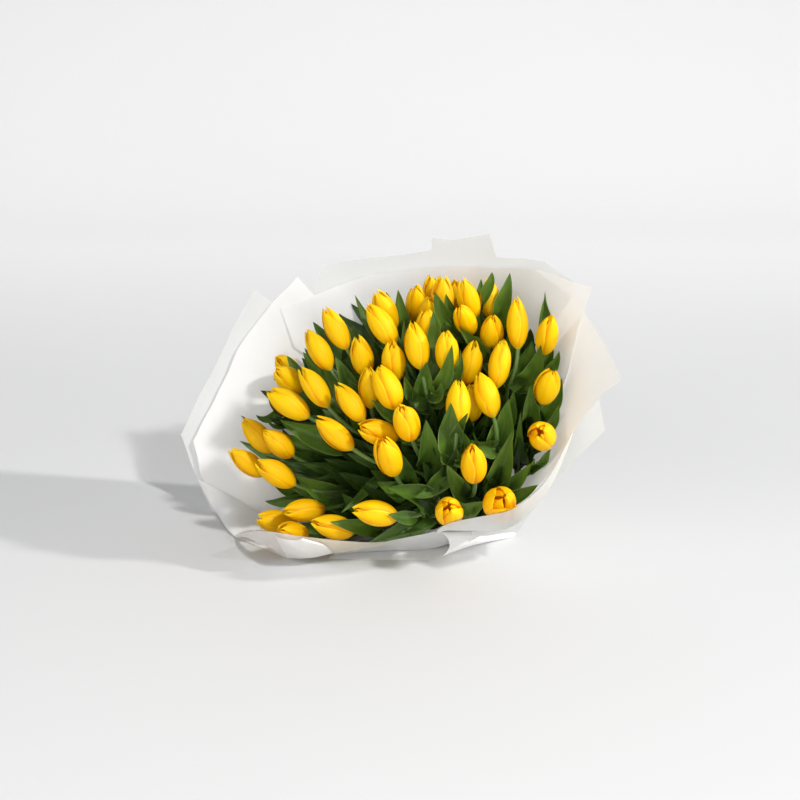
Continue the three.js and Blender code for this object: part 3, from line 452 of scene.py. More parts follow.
# Gathers point grids into one mesh. A tone is three values, each one number or one for every point
class Grids:
    def __init__(self):
        self.points, self.faces, self.uvs, self.tones, self.count = [], [], [], [], 0

    def keep(self, points, uvs, tones):
        self.points.append(points.reshape(-1, 3))
        self.uvs.append(uvs.reshape(-1, 2))
        self.tones.append(tones.reshape(-1, 4))
        self.count += len(self.points[-1])

    def add(self, grid, tone, rise=None, closed=False):
        rows, columns = grid.shape[:2]
        last = columns if closed else columns - 1
        for row in range(rows - 1):
            for column in range(last):
                a = self.count + row * columns + column
                b = self.count + row * columns + (column + 1) % columns
                self.faces.append((a, b, b + columns, a + columns))
        u = np.arange(columns) / columns if closed else np.linspace(0, 1, columns)
        v = np.linspace(0, 1, rows)[:, None] if rise is None else rise
        tones = [np.broadcast_to(part, (rows, columns)) for part in (*tone, 1.0)]
        self.keep(grid, np.stack(np.broadcast_arrays(u, v), axis=-1), np.stack(tones, axis=-1))

    def cap(self, ring, tone):
        size = len(ring)
        self.faces.append(tuple(range(self.count, self.count + size)))
        self.keep(ring, np.tile((0.5, 0.0), (size, 1)), np.tile((*tone, 1.0), (size, 1)))

    def piece(self, name, material, node, slot):
        placed = np.concatenate(self.points) / 1000 + placeOnFloor
        mesh = meshOf(name, placed.tolist(), self.faces, material)
        corners = np.zeros(len(mesh.loops), dtype=np.int32)
        mesh.loops.foreach_get("vertex_index", corners)
        uvs = np.concatenate(self.uvs).astype(np.float32)
        mesh.uv_layers.new(name="shape").data.foreach_set("uv", uvs[corners].ravel())
        tones = np.concatenate(self.tones).astype(np.float32)
        mesh.attributes.new("tone", "FLOAT_COLOR", "POINT").data.foreach_set("color", tones.ravel())
        mesh.update()
        piece = linkObject(name, mesh)
        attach(piece, "root")
        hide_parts(node)


# Shader values: sums and products of sockets add their Math nodes
class Value:
    def __init__(self, shader, socket):
        self.shader = shader
        self.socket = socket

    def __add__(self, other):
        return self.shader.maths("ADD", self, other)

    def __sub__(self, other):
        return self.shader.maths("SUBTRACT", self, other)

    def __rsub__(self, other):
        return self.shader.maths("SUBTRACT", other, self)

    def __mul__(self, other):
        return self.shader.maths("MULTIPLY", self, other)

    __radd__ = __add__
    __rmul__ = __mul__

    def size(self):
        return self.shader.maths("ABSOLUTE", self)

    def limited(self):
        return self.shader.maths("ADD", self, 0.0, clamp=True)

    def between(self, low, high):
        # 0 below low, 1 above high, smooth between
        return self.shader.node("MapRange", {"interpolation_type": "SMOOTHSTEP"},
                                {0: self, 1: low, 2: high, 3: 0.0, 4: 1.0})


class Shader:
    def __init__(self, name):
        self.material = bpy.data.materials.new(name)
        self.material.use_nodes = True
        self.tree = self.material.node_tree
        self.tree.nodes.clear()

    def node(self, kind, settings=None, sockets=None, output=0):
        made = self.tree.nodes.new("ShaderNode" + kind)
        for key, value in (settings or {}).items():
            setattr(made, key, value)
        for key, value in (sockets or {}).items():
            if isinstance(value, Value):
                self.tree.links.new(value.socket, made.inputs[key])
            else:
                isColour = made.inputs[key].type == "RGBA"
                made.inputs[key].default_value = (*value, 1.0) if isColour else value
        return None if output is None else Value(self, made.outputs[output])

    def maths(self, operation, *values, clamp=False):
        return self.node("Math", {"operation": operation, "use_clamp": clamp}, dict(enumerate(values)))

    def mix(self, factor, first, second):
        return self.node("Mix", {"data_type": "RGBA"}, {0: factor, 6: first, 7: second}, 2)

    def split(self, kind, source):
        parts = self.node(kind, None, {0: source}).socket.node
        return [Value(self, output) for output in parts.outputs]

    def shape(self):
        # across 0 to 1 and along 0 to 1, as the pieces' own uv holds them
        return self.split("SeparateXYZ", self.node("UVMap", {"uv_map": "shape"}))[:2]

    def tone(self):
        return self.split("SeparateColor", self.node("Attribute", {"attribute_name": "tone"}))

    def noise(self, place, scale, detail=2.0, roughness=0.5):
        return self.node("TexNoise", None, {"Vector": place, "Scale": scale, "Detail": detail,
                                            "Roughness": roughness})

    def stretched(self, x, y, z, detail, roughness=0.5):
        # noise on the piece's own uv, drawn out by different scales across and along
        return self.noise(self.node("CombineXYZ", None, {0: x, 1: y, 2: z}), 1.0, detail, roughness)

    def bump(self, height, distance, strength):
        return self.node("Bump", None, {"Height": height, "Distance": distance, "Strength": strength})

    def skin(self, body, roughness, relief, specular=0.5):
        return self.node("BsdfPrincipled", None, {
            "Base Color": body, "Roughness": roughness, "Normal": relief, "Specular IOR Level": specular})

    def thin(self, skin, look, relief):
        # part of the light comes through a petal, a leaf or paper
        glow = self.node("BsdfTranslucent", None, {"Color": look["glow"], "Normal": relief})
        return self.surface(self.node("MixShader", None, {0: look["through"], 1: skin, 2: glow}))

    def surface(self, closure):
        self.node("OutputMaterial", None, {0: closure}, None)
        return self.material


petalLook = {
    "golden": (1.0, 0.69, 0.0),
    "lemon": (1.0, 0.80, 0.01),
    "orange": (0.95, 0.42, 0.0),
    "base": (0.80, 0.66, 0.03),
    "glow": (1.0, 0.55, 0.003),
    "shine": 0.46,
    "through": 0.30,
}


def petalMaterial():
    shader = Shader("tulipPetal")
    across01, along01 = shader.shape()
    petalTone, inner, bloomTone = shader.tone()[:3]
    middle = (across01 - 0.5).size() * 2
    streaks = shader.stretched(across01 * 26, along01 * 2.2, petalTone * 9 + bloomTone * 5, 3.0, 0.6)
    patches = shader.stretched(across01 * 2.2, along01 * 2.6, petalTone * 17, 2.0)
    veins = shader.stretched(across01 * 60, along01 * 1.5, petalTone * 5, 1.0)
    # orange: the petal's own warmth towards its base and in patches and streaks, plus painted shade in its
    # creases
    warmthAndShade = (1 - along01).between(0.2, 0.9) * 0.18 + patches.between(0.45, 0.75) * 0.22
    # painted shade: orange where the next petal's edge lies over this one
    lapShade = (1 - across01.between(0.05, 0.26)) * (1 - along01.between(0.8, 1.0) * 0.6)
    # painted shade: orange on each petal's sides low down, where the petals crowd together
    warmthAndShade = warmthAndShade + middle.between(0.55, 0.9) * (1 - along01.between(0.75, 1.0)) * 0.2 + lapShade * 0.62
    warmthAndShade = warmthAndShade + streaks.between(0.48, 0.75) * 0.2 + (bloomTone - 0.55) * 0.3 + inner * 0.12
    # painted shade: orange along the groove of the midrib
    warmthAndShade = warmthAndShade + (1 - middle).between(0.86, 1.0) * along01.between(0.3, 0.6) * 0.3
    body = shader.mix(warmthAndShade.limited(), petalLook["golden"], petalLook["orange"])
    rim = across01.between(0.93, 0.99) * 0.9 + along01.between(0.8, 1.0) * 0.35
    body = shader.mix(rim.limited(), body, petalLook["lemon"])
    body = shader.mix((1 - along01.between(0.0, 0.16)) * 0.55, body, petalLook["base"])
    relief = shader.bump(veins * 0.6 + streaks * 0.4, 0.0005, 0.55)
    skin = shader.skin(body, streaks * 0.16 + (petalLook["shine"] - 0.04), relief, 0.22)
    return shader.thin(skin, petalLook, relief)


leafLook = {
    "deep": (0.029, 0.074, 0.009),
    "fresh": (0.125, 0.230, 0.020),
    "margin": (0.30, 0.42, 0.13),
    "wax": (0.155, 0.235, 0.075),
    "shadow": (0.010, 0.026, 0.004),
    "glow": (0.16, 0.34, 0.02),
    "through": 0.12,
}


def leafMaterial():
    shader = Shader("tulipLeaf")
    across01, along01 = shader.shape()
    # the tone's second value is painted shade for leaves that lie deep in the bunch
    leafTone, deep = shader.tone()[:2]
    middle = (across01 - 0.5).size() * 2
    veins = shader.stretched(across01 * 44, along01 * 1.6, leafTone * 31, 2.0, 0.6)
    clouds = shader.stretched(across01 * 1.6, along01 * 3.4, leafTone * 13, 3.0)
    fresh = (clouds.between(0.35, 0.7) * 0.6 + leafTone * 0.4).limited()
    body = shader.mix(fresh, leafLook["deep"], leafLook["fresh"])
    body = shader.mix(veins.between(0.5, 0.72) * 0.35, body, leafLook["wax"])
    body = shader.mix((1 - middle).between(0.90, 1.0) * 0.35, body, leafLook["fresh"])
    body = shader.mix(middle.between(0.93, 0.99) * 0.75, body, leafLook["margin"])
    dark = ((1 - along01.between(0.05, 0.6)) * 0.5 + deep).limited()   # painted shade: darker low on a leaf and for leaves low in the bunch
    body = shader.mix(dark, body, leafLook["shadow"])
    relief = shader.bump(veins, 0.0007, 0.6)
    skin = shader.skin(body, veins * 0.14 + clouds * 0.1 + 0.30, relief, 0.45)
    return shader.thin(skin, leafLook, relief)


stemLook = {
    "green": (0.080, 0.160, 0.030),
    "pale": (0.17, 0.27, 0.07),
    "cut": (0.55, 0.60, 0.34),
}


def stemMaterial():
    shader = Shader("tulipStem")
    across01, along01 = shader.shape()
    stemTone, cut = shader.tone()[:2]
    streaks = shader.stretched(across01 * 9, along01 * 5, stemTone * 23, 3.0)
    body = shader.mix(streaks.between(0.35, 0.7) * 0.5 + stemTone * 0.3, stemLook["green"], stemLook["pale"])
    body = shader.mix(cut, body, stemLook["cut"])
    return shader.surface(shader.skin(body, streaks * 0.2 + 0.34, shader.bump(streaks, 0.0006, 0.5)))


paperLook = {
    "white": (0.97, 0.967, 0.96),
    "shade": (0.95, 0.946, 0.935),
    "veil": (0.76, 0.77, 0.75),
    "glow": (1.0, 0.995, 0.98),
    "beige": (0.84, 0.77, 0.60),
    "through": 0.25,
    "clear": 0.93,
    "veilClear": 0.80,
}


def paperMaterial():
    shader = Shader("wrappingPaper")
    along01 = shader.shape()[1]
    veil, beige = shader.tone()[:2]
    place = shader.node("TexCoord", output="Object")
    fibres = shader.noise(place, 900.0, 3.0, 0.7)
    clouds = shader.noise(place, 34.0, 4.0, 0.55)
    creases = shader.node("TexVoronoi", {"feature": "DISTANCE_TO_EDGE"}, {"Vector": place, "Scale": 13.0})
    body = shader.mix(clouds.between(0.35, 0.7), paperLook["white"], paperLook["shade"])
    body = shader.mix(veil, body, paperLook["veil"])
    # beige: painted reflection of the flowers' yellow on the inner sheets, and the tint of the front band's
    # right end
    body = shader.mix(beige, body, paperLook["beige"])
    thinner = veil * (paperLook["clear"] - paperLook["veilClear"])
    cover = clouds * 0.06 + (paperLook["clear"] - 0.03) - thinner
    fold = 1 - creases.between(0.0, 0.035)
    hem = along01.between(0.9835, 0.9848)
    relief = shader.bump(clouds * 0.8 + fibres * 0.12 + fold * 0.05, 0.0022, 0.35)
    skin = shader.node("BsdfPrincipled", None, {
        "Base Color": body, "Roughness": fibres * 0.2 + 0.55, "Normal": relief,
        "Alpha": shader.maths("MAXIMUM", hem, cover), "Specular IOR Level": 0.3})
    return shader.thin(skin, paperLook, relief)


twineLook = {
    "straw": (0.50, 0.37, 0.20),
    "dark": (0.27, 0.18, 0.09),
}


def twineMaterial():
    shader = Shader("jute")
    across01, along01 = shader.shape()
    fibres = shader.stretched(across01 * 5, along01 * 900, 0.0, 3.0, 0.7)
    body = shader.mix(fibres.between(0.3, 0.7), twineLook["dark"], twineLook["straw"])
    return shader.surface(shader.skin(body, fibres * 0.1 + 0.8, shader.bump(fibres, 0.0006, 0.8)))


petal, leafSkin, stemSkin, paper, jute = (
    petalMaterial(), leafMaterial(), stemMaterial(), paperMaterial(), twineMaterial())
print("materials made")


# The wrap's front edge, which hides what reaches below it. Each spot: x in the picture, the edge's
# y and how far it lies in front of the tie, then the same for the paper's lower line

frontEdge = np.array([
    (235, 535.8, 124, 537, 122), (246, 532.5, 156, 536.5, 150), (256, 531, 184, 541, 176),
    (272, 531.8, 218, 548, 192), (286, 534, 238, 557, 190), (302, 536.5, 243, 556, 192),
    (320, 538.5, 242, 554, 196), (345, 541, 234, 551, 197), (368, 542.4, 212, 546.5, 196),
    (385, 541.6, 197, 544, 190), (410, 536.6, 196, 539, 190), (437, 530, 196, 534, 195),
    (446, 524.5, 204, 531, 200), (460, 520.5, 220, 531.5, 206), (478, 517, 242, 532, 213),
    (495, 514, 268, 532, 222), (508, 511, 287, 530, 232), (519, 505.5, 292, 524, 240),
    (531, 496.5, 286, 513, 242), (543, 485, 272, 499, 240), (553, 471, 258, 484, 238),
    (564, 450, 246, 459, 236), (573, 432, 240, 434, 238),
])


def pointAtDepth(x, y, depth):
    line = sightLine(x, y)
    point = eye + line * ((-depth - eye[1]) / line[1])
    return np.array([point[0], point[1], max(point[2], 0.7)])


def tuckBehindFront(points):
    # slides points back along the sight until they are behind the front edge
    offset = points - eye
    away = offset @ eyeForward
    x = sightMiddle + sightScale * offset[..., 0] / away
    y = sightMiddle - sightScale * (offset @ eyeUp) / away
    edgeY, edgeDepth, lowY, lowDepth = (np.interp(x, frontEdge[:, 0], frontEdge[:, k]) for k in range(1, 5))
    share = np.clip((y - edgeY) / (lowY - edgeY), 0, 1)
    depth = np.minimum(-points[..., 1], edgeDepth + (lowDepth - edgeDepth) * share - 5)
    height = np.minimum(y, lowY - 2)
    line = (eyeForward + eyeUp * ((sightMiddle - height) / sightScale)[..., None]
            + np.array([1.0, 0, 0]) * ((x - sightMiddle) / sightScale)[..., None])
    moved = eye + line * ((-depth - eye[1]) / line[..., 1])[..., None]
    hidden = (x > frontEdge[0, 0]) & (x < frontEdge[-1, 0]) & (y > edgeY - 1)
    return np.where(hidden[..., None], moved, points)


# Blooms: three outer petals over three inner ones

petals = {
    "seed": 4000,
    "across": 17,
    "along": 24,
    "crowding": 1.25,         # rows lie closer together towards the tip
    "slim": [(0, 0.84), (0.15, 0.86), (0.25, 0.92), (0.4, 0.98), (0.5, 1.0), (1, 1.16)],   # by openness
    "outerHalf": 65,          # degrees from a petal's middle to its edge
    "innerHalf": 62,
    "tuck": 0.045,            # how far an edge lies in against the next petal
    "innerShare": 0.89,
    "innerHeight": 0.965,
    "lap": 0.055,             # how far one edge stands over the other
    "loose": 0.11,            # how far a petal of a closed bloom may stand open
    "crown": 0.7,             # how far a closed bloom's tips may stand apart
    "wave": 0.6,
    "midrib": 0.5,
    "twist": 0.22,            # how far round the bloom a petal turns, up to its tip
    "notch": 0.022,
    "fallen": (-0.75, -0.35, -0.55),   # which way the open bloom has let a petal down
}


def throughStops(stops, value):
    # smooth curve through stops
    x = np.array([s[0] for s in stops], dtype=float)
    y = np.array([s[1] for s in stops], dtype=float)
    slope = np.gradient(y, x)
    value = np.clip(value, x[0], x[-1])
    cell = np.clip(np.searchsorted(x, value) - 1, 0, len(x) - 2)
    width = x[cell + 1] - x[cell]
    share = (value - x[cell]) / width
    a = 2 * share ** 3 - 3 * share ** 2 + 1
    b = share ** 3 - 2 * share ** 2 + share
    c = share ** 3 - share ** 2
    return a * y[cell] + b * width * slope[cell] + (1 - a) * y[cell + 1] + c * width * slope[cell + 1]


# Half angle of a petal, and distance from the bloom's axis, from its base to its tip
petalOutline = [(0, 0.6), (0.12, 0.86), (0.35, 1.02), (0.65, 1.02), (0.80, 0.90), (0.90, 0.70), (0.97, 0.42),
                (1, 0.14)]
closedCup = [(0, 0.20), (0.05, 0.43), (0.12, 0.65), (0.25, 0.88), (0.38, 0.98), (0.50, 1.0), (0.62, 0.93),
             (0.74, 0.78), (0.86, 0.53), (0.95, 0.27), (1, 0.08)]
crownedCup = [(0, 0.20), (0.05, 0.41), (0.12, 0.62), (0.25, 0.84), (0.40, 0.97), (0.55, 1.0), (0.72, 0.92),
              (0.86, 0.73), (0.95, 0.50), (1, 0.30)]
openCup = [(0, 0.20), (0.05, 0.5), (0.12, 0.76), (0.25, 0.97), (0.38, 1.06), (0.55, 1.1), (0.72, 1.12),
           (0.86, 1.1), (0.95, 1.08), (1, 1.06)]


def petalGrid(bloom, middleAngle, inner, draw):
    axis = bloom["axis"]
    side = unit(np.cross(np.array([0, 0, 1.0]), axis))
    front = np.cross(axis, side)
    u = np.linspace(-1, 1, petals["across"])[None, :]
    v = (1 - (1 - np.linspace(0, 1, petals["along"])) ** petals["crowding"])[:, None]
    opened = 0.9 * bloom["open"] ** 2 + (0.02 if inner else petals["loose"] * draw())
    if bloom["open"] > 0.9:
        way = side * math.cos(middleAngle) + front * math.sin(middleAngle)
        fallen = smoothStep(way @ unit(np.array(petals["fallen"])) - 0.1)
        opened = 0.0 if inner else 0.06 + 1.25 * float(fallen)
    crown = 0 if inner else bloom["crown"]
    closed = throughStops(closedCup, v) * (1 - crown) + throughStops(crownedCup, v) * crown
    cup = closed * (1 - opened) + throughStops(openCup, v) * opened
    radius = bloom["radius"] * float(np.interp(bloom["open"], *zip(*petals["slim"]))) * cup
    half = (petals["innerHalf"] if inner else petals["outerHalf"]) * degree
    half = half * throughStops(petalOutline, v) * (0.96 + 0.08 * draw())
    lean = 1 + 0.12 * (draw() - 0.5) * v + 0.05 * (draw() - 0.5)
    height = bloom["size"] * (petals["innerHeight"] if inner else 1.0) * (0.93 + 0.08 * draw())
    belly = smoothStep(v / 0.3)
    top = smoothStep((v - 0.8) / 0.2)
    edge = np.abs(u) ** 2
    if inner:
        radius = radius * (petals["innerShare"] * lean - 0.10 * edge * belly - 0.05 * top)
    else:
        radius = radius * (1.03 * lean + 0.02 * belly * (1 - edge) - petals["tuck"] * edge * belly
                           + petals["lap"] * u * belly)
    phase = draw() * 6.28
    radius = radius + petals["wave"] * v * np.sin(3.2 * u + 5 * v + phase) * np.abs(u)
    radius = radius - petals["midrib"] * np.exp(-(u / 0.1) ** 2) * smoothStep((v - 0.2) / 0.4) * (1 - v * 0.3)
    angle = (middleAngle + u * half + 0.2 * (draw() - 0.5) * v + 0.05 * np.sin(4 * v + phase)
             + petals["twist"] * v)
    rise = height * (v - 0.05 * edge * v + petals["notch"] * np.sin(5 * u + phase) * top)
    grid = (bloom["base"] + axis * rise[..., None] + side * (radius * np.cos(angle))[..., None]
            + front * (radius * np.sin(angle))[..., None])
    return grid, v


def makeBloom(bloom):
    draw = makeRandom(petals["seed"] + bloom["number"] * 31)
    grids = Grids()
    bloomTone = draw()
    bloom["crown"] = petals["crown"] * draw()
    for inner in (True, False):
        for petalNumber in range(3):
            middleAngle = bloom["spin"] + (petalNumber * 120 + (60 if inner else 0)) * degree
            middleAngle += 8 * degree * (draw() - 0.5)
            grid, rise = petalGrid(bloom, middleAngle, inner, draw)
            grids.add(tuckBehindFront(grid), (draw(), float(inner), bloomTone), rise)
    grids.piece(f"tulip_bloom_{bloom['number']:02d}", petal, f"bloom_{bloom['number']:02d}", "petal")


for bloom in blooms:
    makeBloom(bloom)
print("petals made")


# Stems: from the cut end, through the tie, up into the bloom

stems = {"sides": 8, "below": 14, "above": 20, "taper": 0.14, "clear": 0.8, "ragged": 14}


def tubeGrid(points, radii, sides):
    points = np.asarray(points)
    run = unit(np.gradient(points, axis=0))
    side = unit(np.cross(run[0], np.array([0.31, 0.2, 1.0])))
    rings = []
    for place, point in enumerate(points):
        side = unit(side - run[place] * (side @ run[place]))
        other = np.cross(run[place], side)
        angle = np.arange(sides) / sides * 2 * math.pi
        rings.append(point + radii[place] * (side * np.cos(angle)[:, None] + other * np.sin(angle)[:, None]))
    return np.array(rings)


def makeStem(bloom, grids):
    cut = bunch["tailLength"] + stems["ragged"] * (bloom["draw"]() - 0.5)
    low = [slotPoint(bloom, position) for position in np.linspace(-cut, 7, stems["below"])]
    high = stemPath(bloom, np.linspace(0.03, 1, stems["above"]))
    high[3:-2] = keepOffBlooms(high[3:-2], bunch["stemRadius"] + stems["clear"], bloom)
    for step in range(3):
        high[1:-1] = (high[:-2] + 2 * high[1:-1] + high[2:]) / 4
    points = np.concatenate([low, tuckBehindFront(high)])
    radii = bunch["stemRadius"] * (1 - stems["taper"] * np.linspace(0, 1, len(points)))
    rings = tubeGrid(points, radii, stems["sides"])
    tone = bloom["draw"]()
    grids.add(rings, (tone, 0, 0), closed=True)
    grids.cap(rings[0][::-1], (tone, 1, 0))


# Leaves: gutter blades, waved along their edges, that bend round the blooms

blades = {
    "seed": 9000,
    "across": 9,
    "along": 26,
    "slim": 0.88,
    "gutter": 0.55,
    "wave": 0.16,
    "clear": 1.6,
    "sheath": 32,
    "unit": 1.15,             # mm that a unit of the picture is at the flowers
    "underLeaves": 4,         # per stem, deep in the bunch
    "underSeed": 20000,
    # painted shade: how much darker the leaves deep in the bunch are coloured
    "underShade": 0.55,
    # a layer of leaves below the blooms fills this outline in the picture
    "fillOutline": [(262, 425), (280, 385), (300, 362), (330, 335), (362, 305), (400, 295), (445, 292),
                    (500, 305), (540, 330), (562, 375), (556, 430), (548, 470), (525, 497), (490, 512),
                    (440, 522), (400, 532), (350, 533), (300, 525), (286, 500), (272, 470)],
    "fillSeed": 31,
    "fillStep": 17,
    "fillReach": (226, 244),
    "fillLength": 44,
    # painted shade: how much darker the deep layer of leaves is coloured
    "fillShade": 0.8,
}
bladeOutline = [(0, 0.40), (0.2, 0.70), (0.40, 0.95), (0.56, 1.0), (0.72, 0.86), (0.87, 0.50), (0.95, 0.24),
                (1, 0.02)]


def leafPath(row, shift):
    tipX, tipY, lowX, lowY, reach, width, roll = row
    drop = math.hypot(tipX - lowX, tipY - lowY) * blades["unit"] * 0.9
    tip = pointAtDistance(tipX, tipY, tie, reach + shift)
    low = pointAtDistance(lowX, lowY, tie, max(reach + shift - drop, 150))
    wedge = wedgeOf(float(bunchPlace((tip + low) / 2)[0]))
    own = [bloom for bloom in blooms if bloom["wedge"] == wedge]
    carrier = min(own, key=lambda bloom: np.linalg.norm(stemPath(bloom, [0.7])[0] - low))
    sheath = np.linalg.norm(low - tie) - blades["sheath"]
    start = stemPath(carrier, [sheath / carrier["reach"]])[0]
    return (start, start + (low - start) * 0.55, low + (tip - low) * 0.25, tip), wedge


def underLeafPath(bloom, around, random):
    from0, to0 = 0.24 + 0.16 * random[0], 0.78 + 0.24 * random[1]
    start, low, high = stemPath(bloom, [from0, (from0 + to0) / 2, to0])
    run = unit(high - start)
    side = unit(np.cross(run, np.array([0, 0, 1.0])))
    away = side * math.cos(around) + np.cross(run, side) * math.sin(around)
    tip = high + away * (12 + 18 * random[2])
    return (start, low + away * 8 - run * 14, low + away * 17 + run * 24, tip), away


def bladeGrid(path, width, roll, facing, random):
    v = np.linspace(0, 1, blades["along"])
    middle = curvePoints(*path, v)
    run = unit(np.gradient(middle, axis=0))
    flat = unit(np.cross(run, facing(middle)))
    face = unit(np.cross(flat, run))
    turned = roll * v + 0.25 * (random[3] - 0.5)
    wide = flat * np.cos(turned)[:, None] + face * np.sin(turned)[:, None]
    out = unit(np.cross(wide, run))
    half = width / 2 * blades["slim"] * throughStops(bladeOutline, v)
    u = np.linspace(-1, 1, blades["across"])
    phase, beat = random[4] * 6.28, 5 + 6 * random[5]
    left = np.sin(beat * v * 1.3 + phase)[:, None] * np.where(u < 0, 1, 0)[None]
    right = np.sin(beat * v * 1.1 + phase + 2)[:, None] * np.where(u > 0, 1, 0)[None]
    fold = blades["gutter"] * (0.7 + 0.6 * random[6]) * (1.25 - 0.6 * v)[:, None]
    lift = fold * (1.7 * np.abs(u)[None] ** 1.5 - 0.8) + blades["wave"] * (left + right) * (u ** 2)[None] * 2
    return (middle[:, None] + wide[:, None] * (half[:, None] * u[None])[..., None]
            + out[:, None] * (half[:, None] * lift)[..., None])


def inBlooms(grid):
    apart = np.linalg.norm(grid[6:, None] - allCentres[:, None], axis=-1)
    return float(np.maximum(allRadii[:, None] + 0.5 - apart, 0).sum()) / 40


def restBlade(grid):
    # bends a blade off the blooms and the paper
    moved = keepInWrap(keepOffBlooms(grid, blades["clear"]), 2.5) - grid
    moved[:4] *= np.linspace(0, 1, 4)[:, None, None]
    for step in range(3):
        padded = np.pad(moved, ((1, 1), (1, 1), (0, 0)), mode="edge")
        moved = (padded[:-2, 1:-1] + padded[2:, 1:-1] + padded[1:-1, :-2] + padded[1:-1, 2:] + 2 * moved) / 6
    grid = grid + moved
    grid[4:] = keepOffBlooms(grid[4:], 1.3)
    return tuckBehindFront(grid)


def towardsEye(middle):
    return unit(eye - middle)


def addBlade(choices, wedge, tone, deep):
    # of the blades tried, the one that presses least into blooms
    grid = min(choices, key=lambda choice: choice[0])[1]
    # deep goes into the tone as painted shade for a blade that lies deep in the bunch
    leafGrids[wedge].add(restBlade(grid), (tone, deep, 0))


def growLeaf(row, shifts, shiftCost, random, tone, deep, wedge):
    choices = []
    for shift in shifts:
        grid = bladeGrid(leafPath(row, shift)[0], row[5], row[6] * degree, towardsEye, random)
        choices.append((inBlooms(grid) + abs(shift) * shiftCost, grid))
    addBlade(choices, wedge, tone, deep)


leafGrids = [Grids() for wedge in range(4)]
stemGrids = [Grids() for wedge in range(4)]
for number, row in enumerate(leaves):
    draw = makeRandom(blades["seed"] + number * 53)
    random = [draw() for place in range(8)]
    growLeaf(row, (0, -6, 6, -12, 12, -18, 18, -24, 24, -32), 0.12, random, 0.35 + 0.65 * draw(), 0,
             leafPath(row, 0)[1])
for bloom in blooms:
    draw = makeRandom(blades["underSeed"] + bloom["number"] * 97)
    for number in range(blades["underLeaves"]):
        random = [draw() for place in range(8)]
        width, roll = 17 + 12 * draw(), 0.8 * (draw() - 0.5)
        choices = []
        for turned in (0, 0.15, -0.15, 0.3):
            around = (number / blades["underLeaves"] + turned) * 2 * math.pi
            path, away = underLeafPath(bloom, around, random)
            grid = bladeGrid(path, width, roll, lambda middle: away, random)
            choices.append((inBlooms(grid), grid))
        addBlade(choices, bloom["wedge"], 0.7 * draw(), blades["underShade"])
bloomPicture = np.array([bloom["sight"] for bloom in blooms], dtype=float)


def insideOutline(x, y, outline):
    inside = False
    for (fromX, fromY), (toX, toY) in zip(outline, outline[1:] + outline[:1]):
        if (fromY > y) != (toY > y) and x < fromX + (toX - fromX) * (y - fromY) / (toY - fromY):
            inside = not inside
    return inside


def fillLeaf(x, y, draw):
    # one leaf of the deep layer, pointing the way the blooms round it do
    near = np.exp(-((bloomPicture[:, 2] - x) ** 2 + (bloomPicture[:, 3] - y) ** 2) / 900)
    way = ((bloomPicture[:, :2] - bloomPicture[:, 2:]) * near[:, None]).sum(axis=0) + 1e-6
    way = way / np.hypot(*way)
    swing = 0.7 * (draw() - 0.5)
    way = np.array([way[0] * math.cos(swing) - way[1] * math.sin(swing),
                    way[0] * math.sin(swing) + way[1] * math.cos(swing)])
    length = blades["fillLength"] * (0.7 + 0.6 * draw())
    low, high = blades["fillReach"]
    reach, width, roll = low + (high - low) * draw(), 17 + 12 * draw(), 60 * (draw() - 0.5)
    return (x + way[0] * length * 0.5, y + way[1] * length * 0.5,
            x - way[0] * length * 0.5, y - way[1] * length * 0.5, reach, width, roll)


draw = makeRandom(blades["fillSeed"])
for y in np.arange(295, 535, blades["fillStep"]):
    for x in np.arange(262, 566, blades["fillStep"]):
        x0, y0 = x + 8 * (draw() - 0.5), y + 8 * (draw() - 0.5)
        if insideOutline(x0, y0, blades["fillOutline"]):
            row = fillLeaf(x0, y0, draw)
            random = [draw() for place in range(8)]
            growLeaf(row, (0, -8, 8, -18), 0, random, 0.6 * draw(), blades["fillShade"],
                     leafPath(row, -18)[1])
for bloom in blooms:
    makeStem(bloom, stemGrids[bloom["wedge"]])
for wedge in range(4):
    leafGrids[wedge].piece(f"leaves_{wedge + 1}", leafSkin, f"leafy_stems_{wedge + 1}", "leaf")
    stemGrids[wedge].piece(f"stems_{wedge + 1}", stemSkin, f"leafy_stems_{wedge + 1}", "leaf")
print("leaves and stems made")


# Paper sheets on the wrap's form, with folds that run out from the tie

paperFolds = {
    "seed": 77,
    "depth": 5.0,             # at the rim
    "gather": 1.1,            # at the tie
    "rows": 46,
    "step": 1.1,              # degrees between columns
    # heights of the rows round the tie; from the last one even rows run to the rim
    "tieRows": [-62, -50, -38, -28, -20, -14, -9, -6.6, 0, 6.6, 10, 14, 19, 25, 32, 40, 50, 62, 76, 92, 110],
    "flowerBounce": 0.25,         # painted reflection: inside, the paper takes some of the flowers' yellow
}
# Each sheet: name, layer, degrees that it opens further than the form, and its rim in the picture
sheets = [
    ("back", 0, 0, [(293, 346), (280, 307), (324, 291), (370, 275), (420, 268), (480, 266), (540, 270),
                    (593, 287), (578, 330), (560, 400)]),
    ("front", 1, 0, [(234, 535), (281, 534), (350, 542), (437, 529), (494, 515), (521, 504), (552, 471),
                     (573, 432), (605, 392), (622, 380), (600, 340), (585, 312)]),
    ("left", 2, 0, [(297, 276), (273, 301), (237, 350), (215, 400), (203, 420), (192, 441), (197, 457),
                    (200, 474), (216, 500), (233, 536), (286, 558), (333, 553)]),
    ("outer_back", 3, 2, [(230, 545), (195, 475), (180, 435), (225, 345), (256, 286), (271, 302), (297, 276),
                          (314, 290), (322, 265), (431, 250), (432, 238), (450, 241), (490, 233), (497, 256),
                          (545, 262), (590, 290)]),
    ("outer_right", 3, 6, [(286, 560), (340, 567), (433, 563), (449, 553), (480, 536), (517, 532), (530, 515),
                           (575, 460), (606, 430), (600, 400)]),
]


